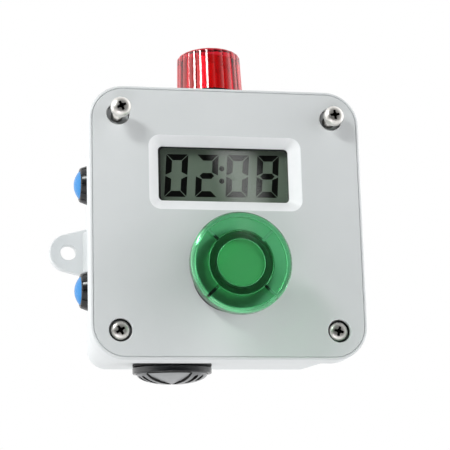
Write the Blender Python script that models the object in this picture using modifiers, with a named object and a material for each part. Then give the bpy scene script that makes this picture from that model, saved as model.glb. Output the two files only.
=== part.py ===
"""Process timer in a moulded wall box, with a display, push buttons, a beacon and a sounder.

Units are metres. +Z is up, the front faces -Y, and the origin is the middle of the back face, on the wall.
Each sub-assembly hangs on an empty: its local +Z points out of the box, and its origin lies on its seat.
"""

import math

import bmesh
import bpy
from mathutils import Vector

MM = 0.001
QUARTER = math.pi / 2

# Clearances
GAP = 0.3 * MM  # between two pieces that touch
OVERCUT = 1.0 * MM  # how far a cutter runs past the face that it opens

# Lid and box
DEPTH = 66 * MM  # wall to the front of the lid
LID_SIDE = 112 * MM
LID_CORNER = 14 * MM
LID_EDGE = 1.0 * MM
LID_SKIRT = 9.6 * MM  # depth of the outer edge, which laps over the box
LID_LIP = 1.3 * MM  # wall of that edge
LID_RIM = 6.5 * MM  # thickness over the gasket
LID_PANEL = 5 * MM  # thickness of the middle
LID_RIM_WIDE = 6 * MM  # from the outer edge to the pocket behind the middle
LID_POCKET_CORNER = 22 * MM
GASKET = 1.0 * MM
GASKET_WIDTH = 2.2 * MM
GASKET_INSET = 0.6 * MM
BOX_DRAFT = 4.2 * MM  # how much each side draws in from rim to back
BOX_BACK_CORNER = 8 * MM
BOX_EDGE = 1.5 * MM
BOX_WALL = 4.0 * MM
POST_HALF = 6.2 * MM
POST_CORNER = 3.0 * MM

# Mounting ears
EAR_OUT = 8.2 * MM  # hole's middle from the edge of the box's back
EAR_HOLE = 3.4 * MM  # radius
EAR_TIP = 8.1 * MM  # radius round the hole
EAR_ROOT_HALF = 11.0 * MM
EAR_THICK = 4.5 * MM
GUSSET_LENGTH = 16 * MM
GUSSET_PROUD = 2.2 * MM
GUSSET_HALF = 8.0 * MM

# Lid screws
SCREW_INSET = 11.85 * MM  # from the lid's edges
SCREW_SHANK = 2.1 * MM
SCREW_LENGTH = 22 * MM
SCREW_HEAD = 4.1 * MM
SCREW_HEAD_HIGH = 3.5 * MM
SCREW_DOME = 0.9 * MM
COUNTERBORE = 4.65 * MM
COUNTERBORE_DEEP = 4.5 * MM
SCREW_HOLE_DEEP = 34 * MM
SCREW_LIFTS = {  # how far each one is backed out
    "top_left": 11.7 * MM,
    "top_right": 8.2 * MM,
    "bottom_left": 0.0,
    "bottom_right": 0.0,
}

# Display
DISPLAY_UP = 20.6 * MM
WINDOW_WIDE = 54.0 * MM
WINDOW_HIGH = 23.6 * MM
WINDOW_CORNER = 1.8 * MM
BEVEL_DEEP = 4.5 * MM
BEVEL_WIDE = 4.5 * MM  # how far the milled slope runs out at each side
SLOPE_CORNER = 4.5 * MM  # corner radius at its outer edge
SEAL_LIP = 0.5 * MM  # the seal shows this much inside the window
SEAL_THICK = 0.7 * MM
PANE_WIDE = 60.0 * MM
PANE_HIGH = 29.6 * MM
PANE_THICK = 1.0 * MM
LCD_THICK = 2.8 * MM
FRAME_WALL = 3.7 * MM
STRIP_LONG = 52 * MM
STRIP_WIDE = 2.2 * MM
STRIP_UP = 12.4 * MM
STRIP_THICK = 2.3 * MM
BOARD_WIDE = 72 * MM
BOARD_HIGH = 44 * MM
BOARD_THICK = 1.6 * MM
BOARD_SCREW = 1.0 * MM
BOARD_SCREW_HEAD = 2.0 * MM
BOARD_SCREW_HEAD_HIGH = 1.4 * MM
BOARD_SCREW_BITE = 2.0 * MM  # into the lid
BOARD_SCREW_UP = 12 * MM
CHIP_SIDE = 12 * MM
CHIP_THICK = 1.6 * MM
CHIP_AT = (10 * MM, 1 * MM)
CRYSTAL_SIZE = (10 * MM, 4 * MM)
CRYSTAL_THICK = 3.5 * MM
CRYSTAL_CORNER = 1.5 * MM
CRYSTAL_AT = (-14 * MM, -8 * MM)

# Start button
START_UP = -21.6 * MM
START_TRAVEL = 4.0 * MM
CAP = 20.0 * MM  # radius
CAP_FACE = 24.8 * MM  # height of the face over the lid
CAP_DOME = 0.6 * MM  # rise at the middle
CAP_DOME_HALFWAY = 0.45 * MM  # rise at half the radius
CAP_EDGE = 1.6 * MM
CAP_SKIRT = 5.0 * MM
CAP_WALL = 1.8 * MM
CAP_ROOF = 2.6 * MM
CAP_TUBE_WALL = 3.0 * MM
CAP_TUBE_LONG = 7.4 * MM
CAP_RIB = 1.4 * MM
CAP_RIBS = 4
DIFFUSER_THICK = 1.5 * MM
DIFFUSER_LEDGE = 2.1 * MM  # width of the stem's end that carries it
STEM = 9.4 * MM  # radius
STEM_WALL = 2.0 * MM
STEM_HEAD = 1.5 * MM
STEM_LEDGE_THICK = 2.0 * MM  # ledge that the spring pushes on
STEM_LEDGE_DEEP = 4.5 * MM
STEM_REACH = 18 * MM  # behind the lid's front
BARREL_PLAY = 0.4 * MM
BARREL_WALL = 1.2 * MM
BARREL_REACH = 19.7 * MM
COLLAR_LEDGE = 4.5 * MM  # past the barrel
COLLAR_HIGH = 4.4 * MM
NECK_LEDGE = 2.2 * MM
NECK_HIGH = 3.0 * MM
START_NUT_LEDGE = 4.6 * MM
START_NUT_THICK = 4.0 * MM
BLOCK_SIDE = 30 * MM
BLOCK_LONG = 24 * MM
BLOCK_WELL = 8 * MM
BLOCK_CORNER = 1.5 * MM
CONTACT_THICK = 1.0 * MM
PIN = 1.2 * MM
PIN_TAIL = 3.0 * MM
LAMP = 4.2 * MM
LAMP_TOP = 10 * MM
LAMP_PLAY = 0.7 * MM
START_WIRE = 0.5 * MM
START_SPRING_PLAY = 0.8 * MM
START_TURNS = 6

# Pieces in the box's sides sit half way back
SIDE_BACK = DEPTH / 2

# Side buttons
SIDE_UP = 22.5 * MM
SIDE_TRAVEL = 1.3 * MM
BEZEL_LIP = 0.85 * MM  # wall round the dome
BEZEL_FLARE = 1.4 * MM
BEZEL_HIGH = 4.6 * MM
BEZEL_WELL = 2.6 * MM
BEZEL_WEB = 2.5 * MM
DOME = 5.85 * MM  # radius
DOME_HIGH = 2.3 * MM
DOME_PROUD = 2.3 * MM  # over the bezel
DOME_SOCKET = 1.9 * MM
SIDE_BARREL_WALL = 1.5 * MM
SIDE_REACH = 13 * MM
SIDE_STEM = 2.4 * MM  # radius
SIDE_STEM_SHOULDER = 0.7 * MM
SIDE_STEM_FLANGE = 1.4 * MM
SIDE_STEM_PLAY = 0.6 * MM
SIDE_STEM_HEAD_LONG = 2.0 * MM
SIDE_WIRE = 0.35 * MM
SIDE_SPRING_INSET = 0.9 * MM  # middle of the wire from the edge of the stem's head
SIDE_TURNS = 4
SIDE_NUT_LEDGE = 2.7 * MM
SIDE_NUT_THICK = 3.2 * MM
SWITCH_LONG = 7.5 * MM

# Beacon
LENS = 14.2 * MM  # radius at its foot
LENS_DRAFT = 0.6 * MM  # how much it draws in from foot to top
LENS_WALL = 2.3 * MM
LENS_EDGE = 1.0 * MM
LENS_HIGH = 18.8 * MM
BEACON_HIGH = 28.0 * MM  # top of the lens over its seat on the box
BEACON_LEDGE = 1.0 * MM
BEACON_SPIGOT = 1.0 * MM
BEACON_STEM = 7.7 * MM
BEACON_STEM_LONG = 12 * MM
BEACON_STEM_WALL = 3.7 * MM
BEACON_NUT_LEDGE = 3.3 * MM
BEACON_NUT_THICK = 4.0 * MM
BEACON_LAMP = 5.0 * MM
BEACON_LAMP_HIGH = 14.6 * MM

# Sounder
SOUNDER_X = -18.8 * MM
SOUNDER = 16.3 * MM  # radius
SOUNDER_HIGH = 4.3 * MM  # rim over its seat on the box
SOUNDER_FLANGE = 2.8 * MM
SOUNDER_REACH = 13 * MM
SOUNDER_LIP = 1.4 * MM  # wall round the grille
SOUNDER_STEP = 1.5 * MM
SOUNDER_FLOOR = 2.0 * MM
SOUNDER_WIRE_HOLE = 1.5 * MM
SOUNDER_NUT_LEDGE = 4.1 * MM
SOUNDER_NUT_THICK = 4.0 * MM
GRILLE_SEAT = 1.2 * MM
GRILLE_LEDGE = 3.1 * MM  # width of the step that carries it
GRILLE_DOME = 4.3 * MM
GRILLE_SLOT = 1.2 * MM
GRILLE_SLOT_PITCH = 3.2 * MM
GRILLE_SLOTS = 3  # on each side
GRILLE_SPREAD = math.radians(40)  # half the angle of the plain wedge between the two sets of slots
GRILLE_BAND = 1.0 * MM  # plain strip between that wedge and its slots
GRILLE_RIM = 1.6 * MM  # plain rim past the ends of the slots
DISC_THICK = 0.5 * MM
DISC_DEEP = 7.0 * MM

# Battery pack
CELL = 7.1 * MM
CELL_LONG = 49 * MM
CELL_NUB = 2.7 * MM
CELL_NUB_LONG = 1.2 * MM
CELL_COUNT = 3
TRAY_FLOOR = 1.5 * MM
TRAY_WALL = 3.0 * MM
TRAY_RIB = 0.8 * MM
TRAY_DEEP = 10 * MM
TRAY_CORNER = 2.0 * MM
TRAY_UP = 19.5 * MM

# Facets round each kind of piece
SIDES_LARGE = 32
SIDES_MIDDLE = 24
SIDES_SMALL = 16
SIDES_TINY = 12
COIL_STEPS = 10

# Levels along the box, counted out from the lid's front
PANEL_BACK = -LID_PANEL
RIM_BACK = -LID_RIM
BOX_FRONT = RIM_BACK - GASKET - 2 * GAP
BOX_BACK = -DEPTH
BOX_HALF = LID_SIDE / 2 - LID_LIP - GAP
BOX_CORNER = LID_CORNER - LID_LIP - GAP
BOX_FLOOR = BOX_BACK + BOX_WALL

# The box's sides lean in by this angle, and what sits square on the top or the bottom leans with them
DRAFT = math.atan2(BOX_DRAFT, BOX_FRONT - BOX_BACK)
WALL_THROUGH = BOX_WALL * math.cos(DRAFT)  # thickness square to a side

# Places and radii that follow from the sizes above
SCREW_AT = LID_SIDE / 2 - SCREW_INSET
EAR_HOLE_OUT = BOX_HALF - BOX_DRAFT + EAR_OUT
STEM_BORE = STEM - STEM_WALL
STEM_LEDGE = LAMP + LAMP_PLAY
BARREL_BORE = STEM + BARREL_PLAY
BARREL = BARREL_BORE + BARREL_WALL
COLLAR = BARREL + COLLAR_LEDGE
NECK = BARREL + NECK_LEDGE
START_NUT = BARREL + START_NUT_LEDGE
START_SPRING = STEM_BORE - START_SPRING_PLAY - START_WIRE
PIN_OUT = (STEM + STEM_BORE) / 2
CAP_TUBE_BORE = STEM_BORE + DIFFUSER_LEDGE
CAP_TUBE = CAP_TUBE_BORE + CAP_TUBE_WALL
BEZEL_FRONT = DOME + GAP + BEZEL_LIP
BEZEL = BEZEL_FRONT + BEZEL_FLARE
SIDE_STEM_NECK = SIDE_STEM - SIDE_STEM_SHOULDER
SIDE_STEM_HEAD = SIDE_STEM + SIDE_STEM_FLANGE
SIDE_BORE = SIDE_STEM_HEAD + SIDE_STEM_PLAY
SIDE_BARREL = SIDE_BORE + SIDE_BARREL_WALL
SIDE_SPRING = SIDE_STEM_HEAD - SIDE_SPRING_INSET
SIDE_NUT = SIDE_BARREL + SIDE_NUT_LEDGE
SWITCH = SIDE_BARREL - GAP
BEACON_BASE = LENS + BEACON_LEDGE
BEACON_BORE = BEACON_STEM - BEACON_STEM_WALL
BEACON_NUT = BEACON_STEM + BEACON_NUT_LEDGE
SOUNDER_BARREL = SOUNDER - SOUNDER_FLANGE
SOUNDER_NUT = SOUNDER_BARREL + SOUNDER_NUT_LEDGE
GRILLE = SOUNDER - SOUNDER_LIP - GAP
SOUNDER_BORE = GRILLE - GRILLE_LEDGE

for old in list(bpy.data.objects):
    bpy.data.objects.remove(old, do_unlink=True)

PARTS = bpy.data.collections.new("process_timer")
CUTTERS = bpy.data.collections.new("cutters")
for group in (PARTS, CUTTERS):
    bpy.context.scene.collection.children.link(group)


def finish(name, colour, roughness, metallic=0.0):
    """A Principled material of one colour."""
    made = bpy.data.materials.new(name)
    made.use_nodes = True
    shader = made.node_tree.nodes["Principled BSDF"]
    shader.inputs["Base Color"].default_value = (*colour, 1.0)
    shader.inputs["Roughness"].default_value = roughness
    shader.inputs["Metallic"].default_value = metallic
    return made


GREY_PVC = finish("grey_pvc", (0.62, 0.65, 0.67), 0.35)
BLACK_PLASTIC = finish("black_plastic", (0.015, 0.015, 0.016), 0.4)
BLACK_RUBBER = finish("black_rubber", (0.02, 0.02, 0.02), 0.8)
GREEN_LENS = finish("green_polycarbonate", (0.06, 0.38, 0.14), 0.15)
RED_LENS = finish("red_polycarbonate", (0.55, 0.01, 0.02), 0.15)
BLUE_PLASTIC = finish("blue_plastic", (0.10, 0.32, 0.70), 0.3)
CLEAR_PLASTIC = finish("clear_polycarbonate", (0.8, 0.82, 0.8), 0.1)
LCD_GLASS = finish("lcd_glass", (0.14, 0.17, 0.14), 0.2)
WHITE_PLASTIC = finish("white_plastic", (0.8, 0.8, 0.78), 0.45)
BOARD_GREEN = finish("board_laminate", (0.03, 0.16, 0.06), 0.5)
STEEL = finish("zinc_plated_steel", (0.6, 0.6, 0.58), 0.3, 1.0)
BRASS = finish("brass", (0.72, 0.5, 0.2), 0.3, 1.0)
CELL_JACKET = finish("cell_jacket", (0.12, 0.12, 0.14), 0.35)


def seat(name, place, turn, parent=None):
    """An empty that carries one sub-assembly."""
    empty = bpy.data.objects.new(name, None)
    PARTS.objects.link(empty)
    empty.location = place
    empty.rotation_euler = turn
    empty.parent = parent
    return empty


def put(name, data, parent, look=None, at=(0.0, 0.0, 0.0), turn=(0.0, 0.0, 0.0)):
    """Adds an object: a part where it has a look, and a hidden cutter where it has none."""
    made = bpy.data.objects.new(name, data)
    made.parent = parent
    made.location = at
    made.rotation_euler = turn
    if look is None:
        CUTTERS.objects.link(made)
        made.hide_render = True
        made.display_type = "WIRE"
    else:
        PARTS.objects.link(made)
        data.materials.append(look)
    return made


def cut(part, tool, operation="DIFFERENCE"):
    """Cuts a part with a tool, or joins the tool to it."""
    step = part.modifiers.new(tool.name, "BOOLEAN")
    step.operation = operation
    step.object = tool


def to_mesh(name, shape):
    """Ends a bmesh as a mesh with smooth rounds and sharp corners."""
    mesh = bpy.data.meshes.new(name)
    shape.to_mesh(mesh)
    shape.free()
    mesh.shade_smooth()
    mesh.set_sharp_from_angle(angle=math.radians(35))
    return mesh


def block(name, low_size, high_size, low, high, corners=(0.0, 0.0), steps=5, edges=()):
    """A block whose size and round corners may change from low to high; edges lists (level, radius)."""
    low_corner, high_corner = corners
    shape = bmesh.new()
    bmesh.ops.create_cube(shape, size=1.0)
    for point in shape.verts:
        wide, deep = high_size
        point.co = Vector((point.co.x * wide, point.co.y * deep, high if point.co.z > 0 else low))
    if high_corner:
        uprights = [e for e in shape.edges if e.verts[0].co.z != e.verts[1].co.z]
        bmesh.ops.bevel(
            shape, geom=uprights, offset=high_corner, segments=steps, profile=0.5, affect="EDGES"
        )
    ratio = low_corner / high_corner if high_corner else 1.0
    for point in shape.verts:
        if point.co.z < (low + high) / 2:
            for axis in (0, 1):
                from_middle = abs(point.co[axis]) - (high_size[axis] / 2 - high_corner)
                moved = low_size[axis] / 2 - low_corner + from_middle * ratio
                point.co[axis] = math.copysign(moved, point.co[axis])
    for level, radius in edges:
        ring = [e for e in shape.edges if all(abs(v.co.z - level) < GAP / 10 for v in e.verts)]
        bmesh.ops.bevel(shape, geom=ring, offset=radius, segments=2, profile=0.5, affect="EDGES")
    return to_mesh(name, shape)


def plate(name, wide, deep, low, high, corner=0.0):
    """A block with upright sides."""
    return block(name, (wide, deep), (wide, deep), low, high, (corner, corner))


def rod(name, radius, low, high, sides=SIDES_SMALL):
    """A cylinder along Z, or a prism where it has few sides."""
    shape = bmesh.new()
    bmesh.ops.create_cone(
        shape, cap_ends=True, segments=sides, radius1=radius, radius2=radius, depth=high - low
    )
    bmesh.ops.translate(shape, verts=shape.verts, vec=(0.0, 0.0, (low + high) / 2))
    return to_mesh(name, shape)


def turned(name, profile, parent, look, at=(0.0, 0.0, 0.0), turn=(0.0, 0.0, 0.0), sides=SIDES_SMALL):
    """Turns (radius, height) points round Z: down the outside, then up the bore where there is one."""
    count = len(profile)
    edges = [(i, i + 1) for i in range(count - 1)]
    if profile[0][0] > 0:
        edges.append((count - 1, 0))
    mesh = bpy.data.meshes.new(name)
    mesh.from_pydata([(radius, 0.0, height) for radius, height in profile], edges, [])
    made = put(name, mesh, parent, look, at, turn)
    spin = made.modifiers.new("turn", "SCREW")
    spin.steps = spin.render_steps = sides
    spin.use_merge_vertices = True
    spin.merge_threshold = GAP / 30
    return made


def ring(name, outer, bore, low, high, parent, look, sides=SIDES_LARGE):
    """A flat turned ring."""
    profile = [(outer, high), (outer, low), (bore, low), (bore, high)]
    return turned(name, profile, parent, look, sides=sides)


def nut(name, corner, bore, low, high, parent, look):
    """A hexagon nut with a plain bore."""
    made = put(name, rod(name, corner, low, high, 6), parent, look)
    tool = rod(name + "_bore", bore, low - OVERCUT, high + OVERCUT)
    cut(made, put(name + "_bore", tool, parent))
    return made


def coil(name, radius, wire, low, high, turns, parent, look):
    """A coil spring of round wire, with its wire's middle from low to high."""
    curve = bpy.data.curves.new(name, "CURVE")
    curve.dimensions = "3D"
    curve.bevel_depth = wire
    curve.bevel_resolution = 2
    curve.use_fill_caps = True
    line = curve.splines.new("POLY")
    last = turns * COIL_STEPS
    line.points.add(last)
    for step, point in enumerate(line.points):
        angle = 2 * math.pi * step / COIL_STEPS
        height = low + (high - low) * step / last
        point.co = (radius * math.cos(angle), radius * math.sin(angle), height, 1.0)
    return put(name, curve, parent, look)


def dome(radius, low, high, points):
    """Profile points from the top of a dome down to its foot."""
    steps = [QUARTER * i / points for i in range(points + 1)]
    return [(radius * math.sin(a), low + (high - low) * math.cos(a)) for a in steps]


def box_half(level):
    """Half the box's width outside, at a level behind the lid's front."""
    return BOX_HALF - BOX_DRAFT * (BOX_FRONT - level) / (BOX_FRONT - BOX_BACK)


def side_seat(radius):
    """How far out a flat spot of this radius lies where it is just sunk in the drafted side."""
    return box_half(-SIDE_BACK - radius)


def wall_seat(name, x, side, panel):
    """A seat square on the box's top, where side is 1, or on its bottom, where side is -1."""
    place = (x, side * box_half(-SIDE_BACK), -SIDE_BACK)
    return seat(name, place, (-side * (QUARTER + DRAFT), 0.0, 0.0), panel)


def corners():
    """The four corner places, by name."""
    return {
        f"{row}_{side}": (x * SCREW_AT, y * SCREW_AT)
        for row, y in (("top", 1), ("bottom", -1))
        for side, x in (("left", -1), ("right", 1))
    }


def make_box(panel):
    """The drafted back box, with corner posts, mounting ears and a cavity that the lid closes."""
    front, back = 2 * box_half(BOX_FRONT), 2 * box_half(BOX_BACK)
    mesh = block(
        "back_box", (back, back), (front, front), BOX_BACK, BOX_FRONT, (BOX_BACK_CORNER, BOX_CORNER),
        edges=[(BOX_BACK, BOX_EDGE)],
    )
    box = put("back_box", mesh, panel, GREY_PVC)
    for side in (-1, 1):
        cut(box, make_ear(side, panel), "UNION")
        cut(box, make_gusset(side, panel), "UNION")
    cut(box, make_cavity(panel))
    for name, (x, y) in corners().items():
        tool = rod("post_hole_" + name, SCREW_SHANK + GAP, -SCREW_HOLE_DEEP, BOX_FRONT + OVERCUT)
        cut(box, put("post_hole_" + name, tool, panel, at=(x, y, 0.0)))
    for side in (-1, 1):
        tool = rod("ear_hole", EAR_HOLE, BOX_BACK - OVERCUT, BOX_BACK + EAR_THICK + OVERCUT)
        cut(box, put("ear_hole", tool, panel, at=(side * EAR_HOLE_OUT, 0.0, 0.0)))
    return box


def make_ear(side, panel):
    """A flat ear at the back: a round tip about its hole, and straight flanks to a wider root."""
    root = box_half(BOX_BACK) - BOX_WALL
    reach = math.hypot(EAR_HOLE_OUT - root, EAR_ROOT_HALF)
    flank = math.atan2(EAR_ROOT_HALF, EAR_HOLE_OUT - root) + math.acos(EAR_TIP / reach)
    start = math.pi - flank
    count = SIDES_SMALL
    arc = [-start + 2 * start * i / count for i in range(count + 1)]
    outline = [(EAR_HOLE_OUT + EAR_TIP * math.cos(a), EAR_TIP * math.sin(a)) for a in arc]
    outline += [(root, EAR_ROOT_HALF), (root, -EAR_ROOT_HALF)]
    curve = bpy.data.curves.new("ear_outline", "CURVE")
    curve.dimensions = "2D"
    curve.fill_mode = "BOTH"
    curve.extrude = EAR_THICK / 2
    line = curve.splines.new("POLY")
    line.use_cyclic_u = True
    line.points.add(len(outline) - 1)
    for point, (x, y) in zip(line.points, outline):
        point.co = (x, y, 0.0, 1.0)
    guide = put("ear_outline", curve, None)
    graph = bpy.context.evaluated_depsgraph_get()
    flat = bpy.data.meshes.new_from_object(guide.evaluated_get(graph))
    bpy.data.objects.remove(guide)
    shape = bmesh.new()
    shape.from_mesh(flat)
    bmesh.ops.remove_doubles(shape, verts=shape.verts, dist=GAP / 30)
    level = BOX_BACK + EAR_THICK / 2
    turn = (0.0, 0.0, 0.0 if side > 0 else math.pi)
    return put("ear", to_mesh("ear", shape), panel, at=(0.0, 0.0, level), turn=turn)


def make_gusset(side, panel):
    """A web that thickens the root of an ear and fades into the box's side."""
    low = BOX_BACK + EAR_THICK / 2
    middle = box_half(BOX_BACK) - BOX_WALL / 2
    foot = 2 * (box_half(low) + GUSSET_PROUD - middle)
    mesh = block(
        "gusset", (foot, 2 * GUSSET_HALF + GUSSET_PROUD), (BOX_WALL / 2, 2 * GUSSET_HALF),
        low, low + GUSSET_LENGTH,
    )
    return put("gusset", mesh, panel, at=(side * middle, 0.0, 0.0))


def make_cavity(panel):
    """The tool for the box's inside. The corner posts are left out of it."""
    top = BOX_FRONT + OVERCUT
    wide, narrow = (2 * (box_half(level) - BOX_WALL) for level in (top, BOX_FLOOR))
    rounds = (BOX_BACK_CORNER - BOX_WALL, BOX_CORNER - BOX_WALL)
    mesh = block("cavity", (narrow, narrow), (wide, wide), BOX_FLOOR, top, rounds)
    tool = put("cavity", mesh, panel)
    for name, (x, y) in corners().items():
        side = 2 * (BOX_HALF + OVERCUT - SCREW_AT + POST_HALF)
        post = plate("post_" + name, side, side, BOX_BACK, top + OVERCUT, POST_CORNER)
        reach = (side / 2 - POST_HALF) / SCREW_AT
        place = (x * (1 + reach), y * (1 + reach), 0.0)
        cut(tool, put("post_" + name, post, panel, at=place))
    return tool


def make_lid(panel):
    """The lid, with the display's milled window, the start button's hole and four counterbores."""
    mesh = block(
        "lid", (LID_SIDE, LID_SIDE), (LID_SIDE, LID_SIDE), -LID_SKIRT, 0.0, (LID_CORNER, LID_CORNER),
        steps=8, edges=[(0.0, LID_EDGE)],
    )
    lid = put("lid", mesh, panel, GREY_PVC)
    inside = LID_SIDE - 2 * LID_LIP
    lap = block(
        "lid_lap", (inside, inside), (inside, inside), -LID_SKIRT - OVERCUT, RIM_BACK,
        (LID_CORNER - LID_LIP, LID_CORNER - LID_LIP), steps=8,
    )
    cut(lid, put("lid_lap", lap, panel))
    middle = LID_SIDE - 2 * LID_RIM_WIDE
    pocket = block(
        "lid_pocket", (middle, middle), (middle, middle), RIM_BACK - OVERCUT, PANEL_BACK,
        (LID_POCKET_CORNER, LID_POCKET_CORNER), steps=1,
    )
    cut(lid, put("lid_pocket", pocket, panel))
    window = plate("window", WINDOW_WIDE, WINDOW_HIGH, PANEL_BACK - OVERCUT, OVERCUT, WINDOW_CORNER)
    display = (0.0, DISPLAY_UP, 0.0)
    cut(lid, put("window", window, panel, at=display))
    run = OVERCUT / BEVEL_DEEP * BEVEL_WIDE
    low_size = (WINDOW_WIDE - 2 * run, WINDOW_HIGH - 2 * run)
    high_size = (low + 4 * run + 2 * BEVEL_WIDE for low in low_size)
    slope = block(
        "window_slope", low_size, tuple(high_size), -BEVEL_DEEP - OVERCUT, OVERCUT,
        (WINDOW_CORNER, SLOPE_CORNER),
    )
    cut(lid, put("window_slope", slope, panel, at=display))
    hole = rod("start_hole", BARREL + GAP, PANEL_BACK - OVERCUT, OVERCUT, SIDES_LARGE)
    cut(lid, put("start_hole", hole, panel, at=(0.0, START_UP, 0.0)))
    for name, (x, y) in corners().items():
        wide = rod("counterbore_" + name, COUNTERBORE, -COUNTERBORE_DEEP, OVERCUT, SIDES_MIDDLE)
        thin = rod("screw_hole_" + name, SCREW_SHANK + GAP, RIM_BACK - OVERCUT, OVERCUT)
        cut(lid, put("counterbore_" + name, wide, panel, at=(x, y, 0.0)))
        cut(lid, put("screw_hole_" + name, thin, panel, at=(x, y, 0.0)))
    for x, y in board_screws():
        bite = rod("lid_bite", BOARD_SCREW + GAP, RIM_BACK, PANEL_BACK + BOARD_SCREW_BITE + GAP, SIDES_TINY)
        cut(lid, put("lid_bite", bite, panel, at=(x, y, 0.0)))
    return lid


def make_gasket(panel):
    """The flat seal between the lid and the box's rim."""
    outer = 2 * (BOX_HALF - GASKET_INSET)
    inner = outer - 2 * GASKET_WIDTH
    corner = BOX_CORNER - GASKET_INSET
    low, high = BOX_FRONT + GAP, RIM_BACK - GAP
    gasket = put("lid_gasket", plate("lid_gasket", outer, outer, low, high, corner), panel, BLACK_RUBBER)
    hole = plate("gasket_hole", inner, inner, low - OVERCUT, high + OVERCUT, corner - GASKET_WIDTH)
    cut(gasket, put("gasket_hole", hole, panel))


def make_lid_screws(panel):
    """Four pan-head screws; their origin is under the head, on the axis that they back out along."""
    top = SCREW_HEAD_HIGH - SCREW_DOME
    profile = dome(SCREW_HEAD, top, SCREW_HEAD_HIGH, 3)
    profile += [(SCREW_HEAD, 0.0), (SCREW_SHANK, 0.0), (SCREW_SHANK, -SCREW_LENGTH), (0.0, -SCREW_LENGTH)]
    for name, (x, y) in corners().items():
        level = -COUNTERBORE_DEEP + GAP + SCREW_LIFTS[name]
        turned("lid_screw_" + name, profile, panel, STEEL, at=(x, y, level))


def board_screws():
    """Where the display board's four screws go through its frame."""
    x = PANE_WIDE / 2 + GAP + FRAME_WALL / 2
    return [(sx * x, DISPLAY_UP + sy * BOARD_SCREW_UP) for sy in (1, -1) for sx in (-1, 1)]


def make_display(panel):
    """Seal, pane, liquid crystal cell, frame, contact strips and board, stacked behind the window."""
    display = seat("display_seat", (0.0, DISPLAY_UP, 0.0), (0.0, 0.0, 0.0), panel)
    level = PANEL_BACK - GAP
    frame_front = level
    seal = plate("window_seal", PANE_WIDE, PANE_HIGH, level - SEAL_THICK, level)
    seal = put("window_seal", seal, display, BLACK_RUBBER)
    see = plate(
        "seal_hole", WINDOW_WIDE - 2 * SEAL_LIP, WINDOW_HIGH - 2 * SEAL_LIP,
        level - SEAL_THICK - OVERCUT, level + OVERCUT, WINDOW_CORNER,
    )
    cut(seal, put("seal_hole", see, display))
    level -= SEAL_THICK + GAP
    pane = plate("display_window", PANE_WIDE, PANE_HIGH, level - PANE_THICK, level)
    put("display_window", pane, display, CLEAR_PLASTIC)
    level -= PANE_THICK + GAP
    put("lcd_panel", plate("lcd_panel", PANE_WIDE, PANE_HIGH, level - LCD_THICK, level), display, LCD_GLASS)
    level -= LCD_THICK + GAP
    for name, up in (("upper", STRIP_UP), ("lower", -STRIP_UP)):
        strip = plate("strip_" + name, STRIP_LONG, STRIP_WIDE, level - STRIP_THICK, level)
        put("contact_strip_" + name, strip, display, BLACK_RUBBER, at=(0.0, up, 0.0))
    level -= STRIP_THICK
    wide, high = PANE_WIDE + 2 * GAP, PANE_HIGH + 2 * GAP
    frame = plate("lcd_frame", wide + 2 * FRAME_WALL, high + 2 * FRAME_WALL, level, frame_front)
    frame = put("lcd_frame", frame, display, BLACK_PLASTIC)
    hole = plate("frame_hole", wide, high, level - OVERCUT, frame_front + OVERCUT)
    cut(frame, put("frame_hole", hole, display))
    level -= GAP
    board = plate("timer_board", BOARD_WIDE, BOARD_HIGH, level - BOARD_THICK, level)
    board = put("timer_board", board, display, BOARD_GREEN)
    back = level - BOARD_THICK
    make_board_screws(panel, frame, board, back - GAP)
    chip = plate("controller_chip", CHIP_SIDE, CHIP_SIDE, back - GAP - CHIP_THICK, back - GAP)
    put("controller_chip", chip, display, BLACK_PLASTIC, at=(*CHIP_AT, 0.0))
    can = plate("quartz_crystal", *CRYSTAL_SIZE, back - GAP - CRYSTAL_THICK, back - GAP, CRYSTAL_CORNER)
    put("quartz_crystal", can, display, STEEL, at=(*CRYSTAL_AT, 0.0))


def make_board_screws(panel, frame, board, under):
    """Four screws that hold board and frame to the lid, with the heads behind the board."""
    tip = PANEL_BACK + BOARD_SCREW_BITE
    low = under - BOARD_SCREW_HEAD_HIGH
    profile = [(0.0, tip), (BOARD_SCREW, tip), (BOARD_SCREW, under), (BOARD_SCREW_HEAD, under)]
    profile += [(BOARD_SCREW_HEAD, low), (0.0, low)]
    for index, (x, y) in enumerate(board_screws(), 1):
        turned(f"board_screw_{index}", profile, panel, STEEL, at=(x, y, 0.0), sides=SIDES_TINY)
        hole = rod("board_hole", BOARD_SCREW + GAP, low - OVERCUT, tip + OVERCUT, SIDES_TINY)
        tool = put("board_hole", hole, panel, at=(x, y, 0.0))
        cut(frame, tool)
        cut(board, tool)


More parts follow.
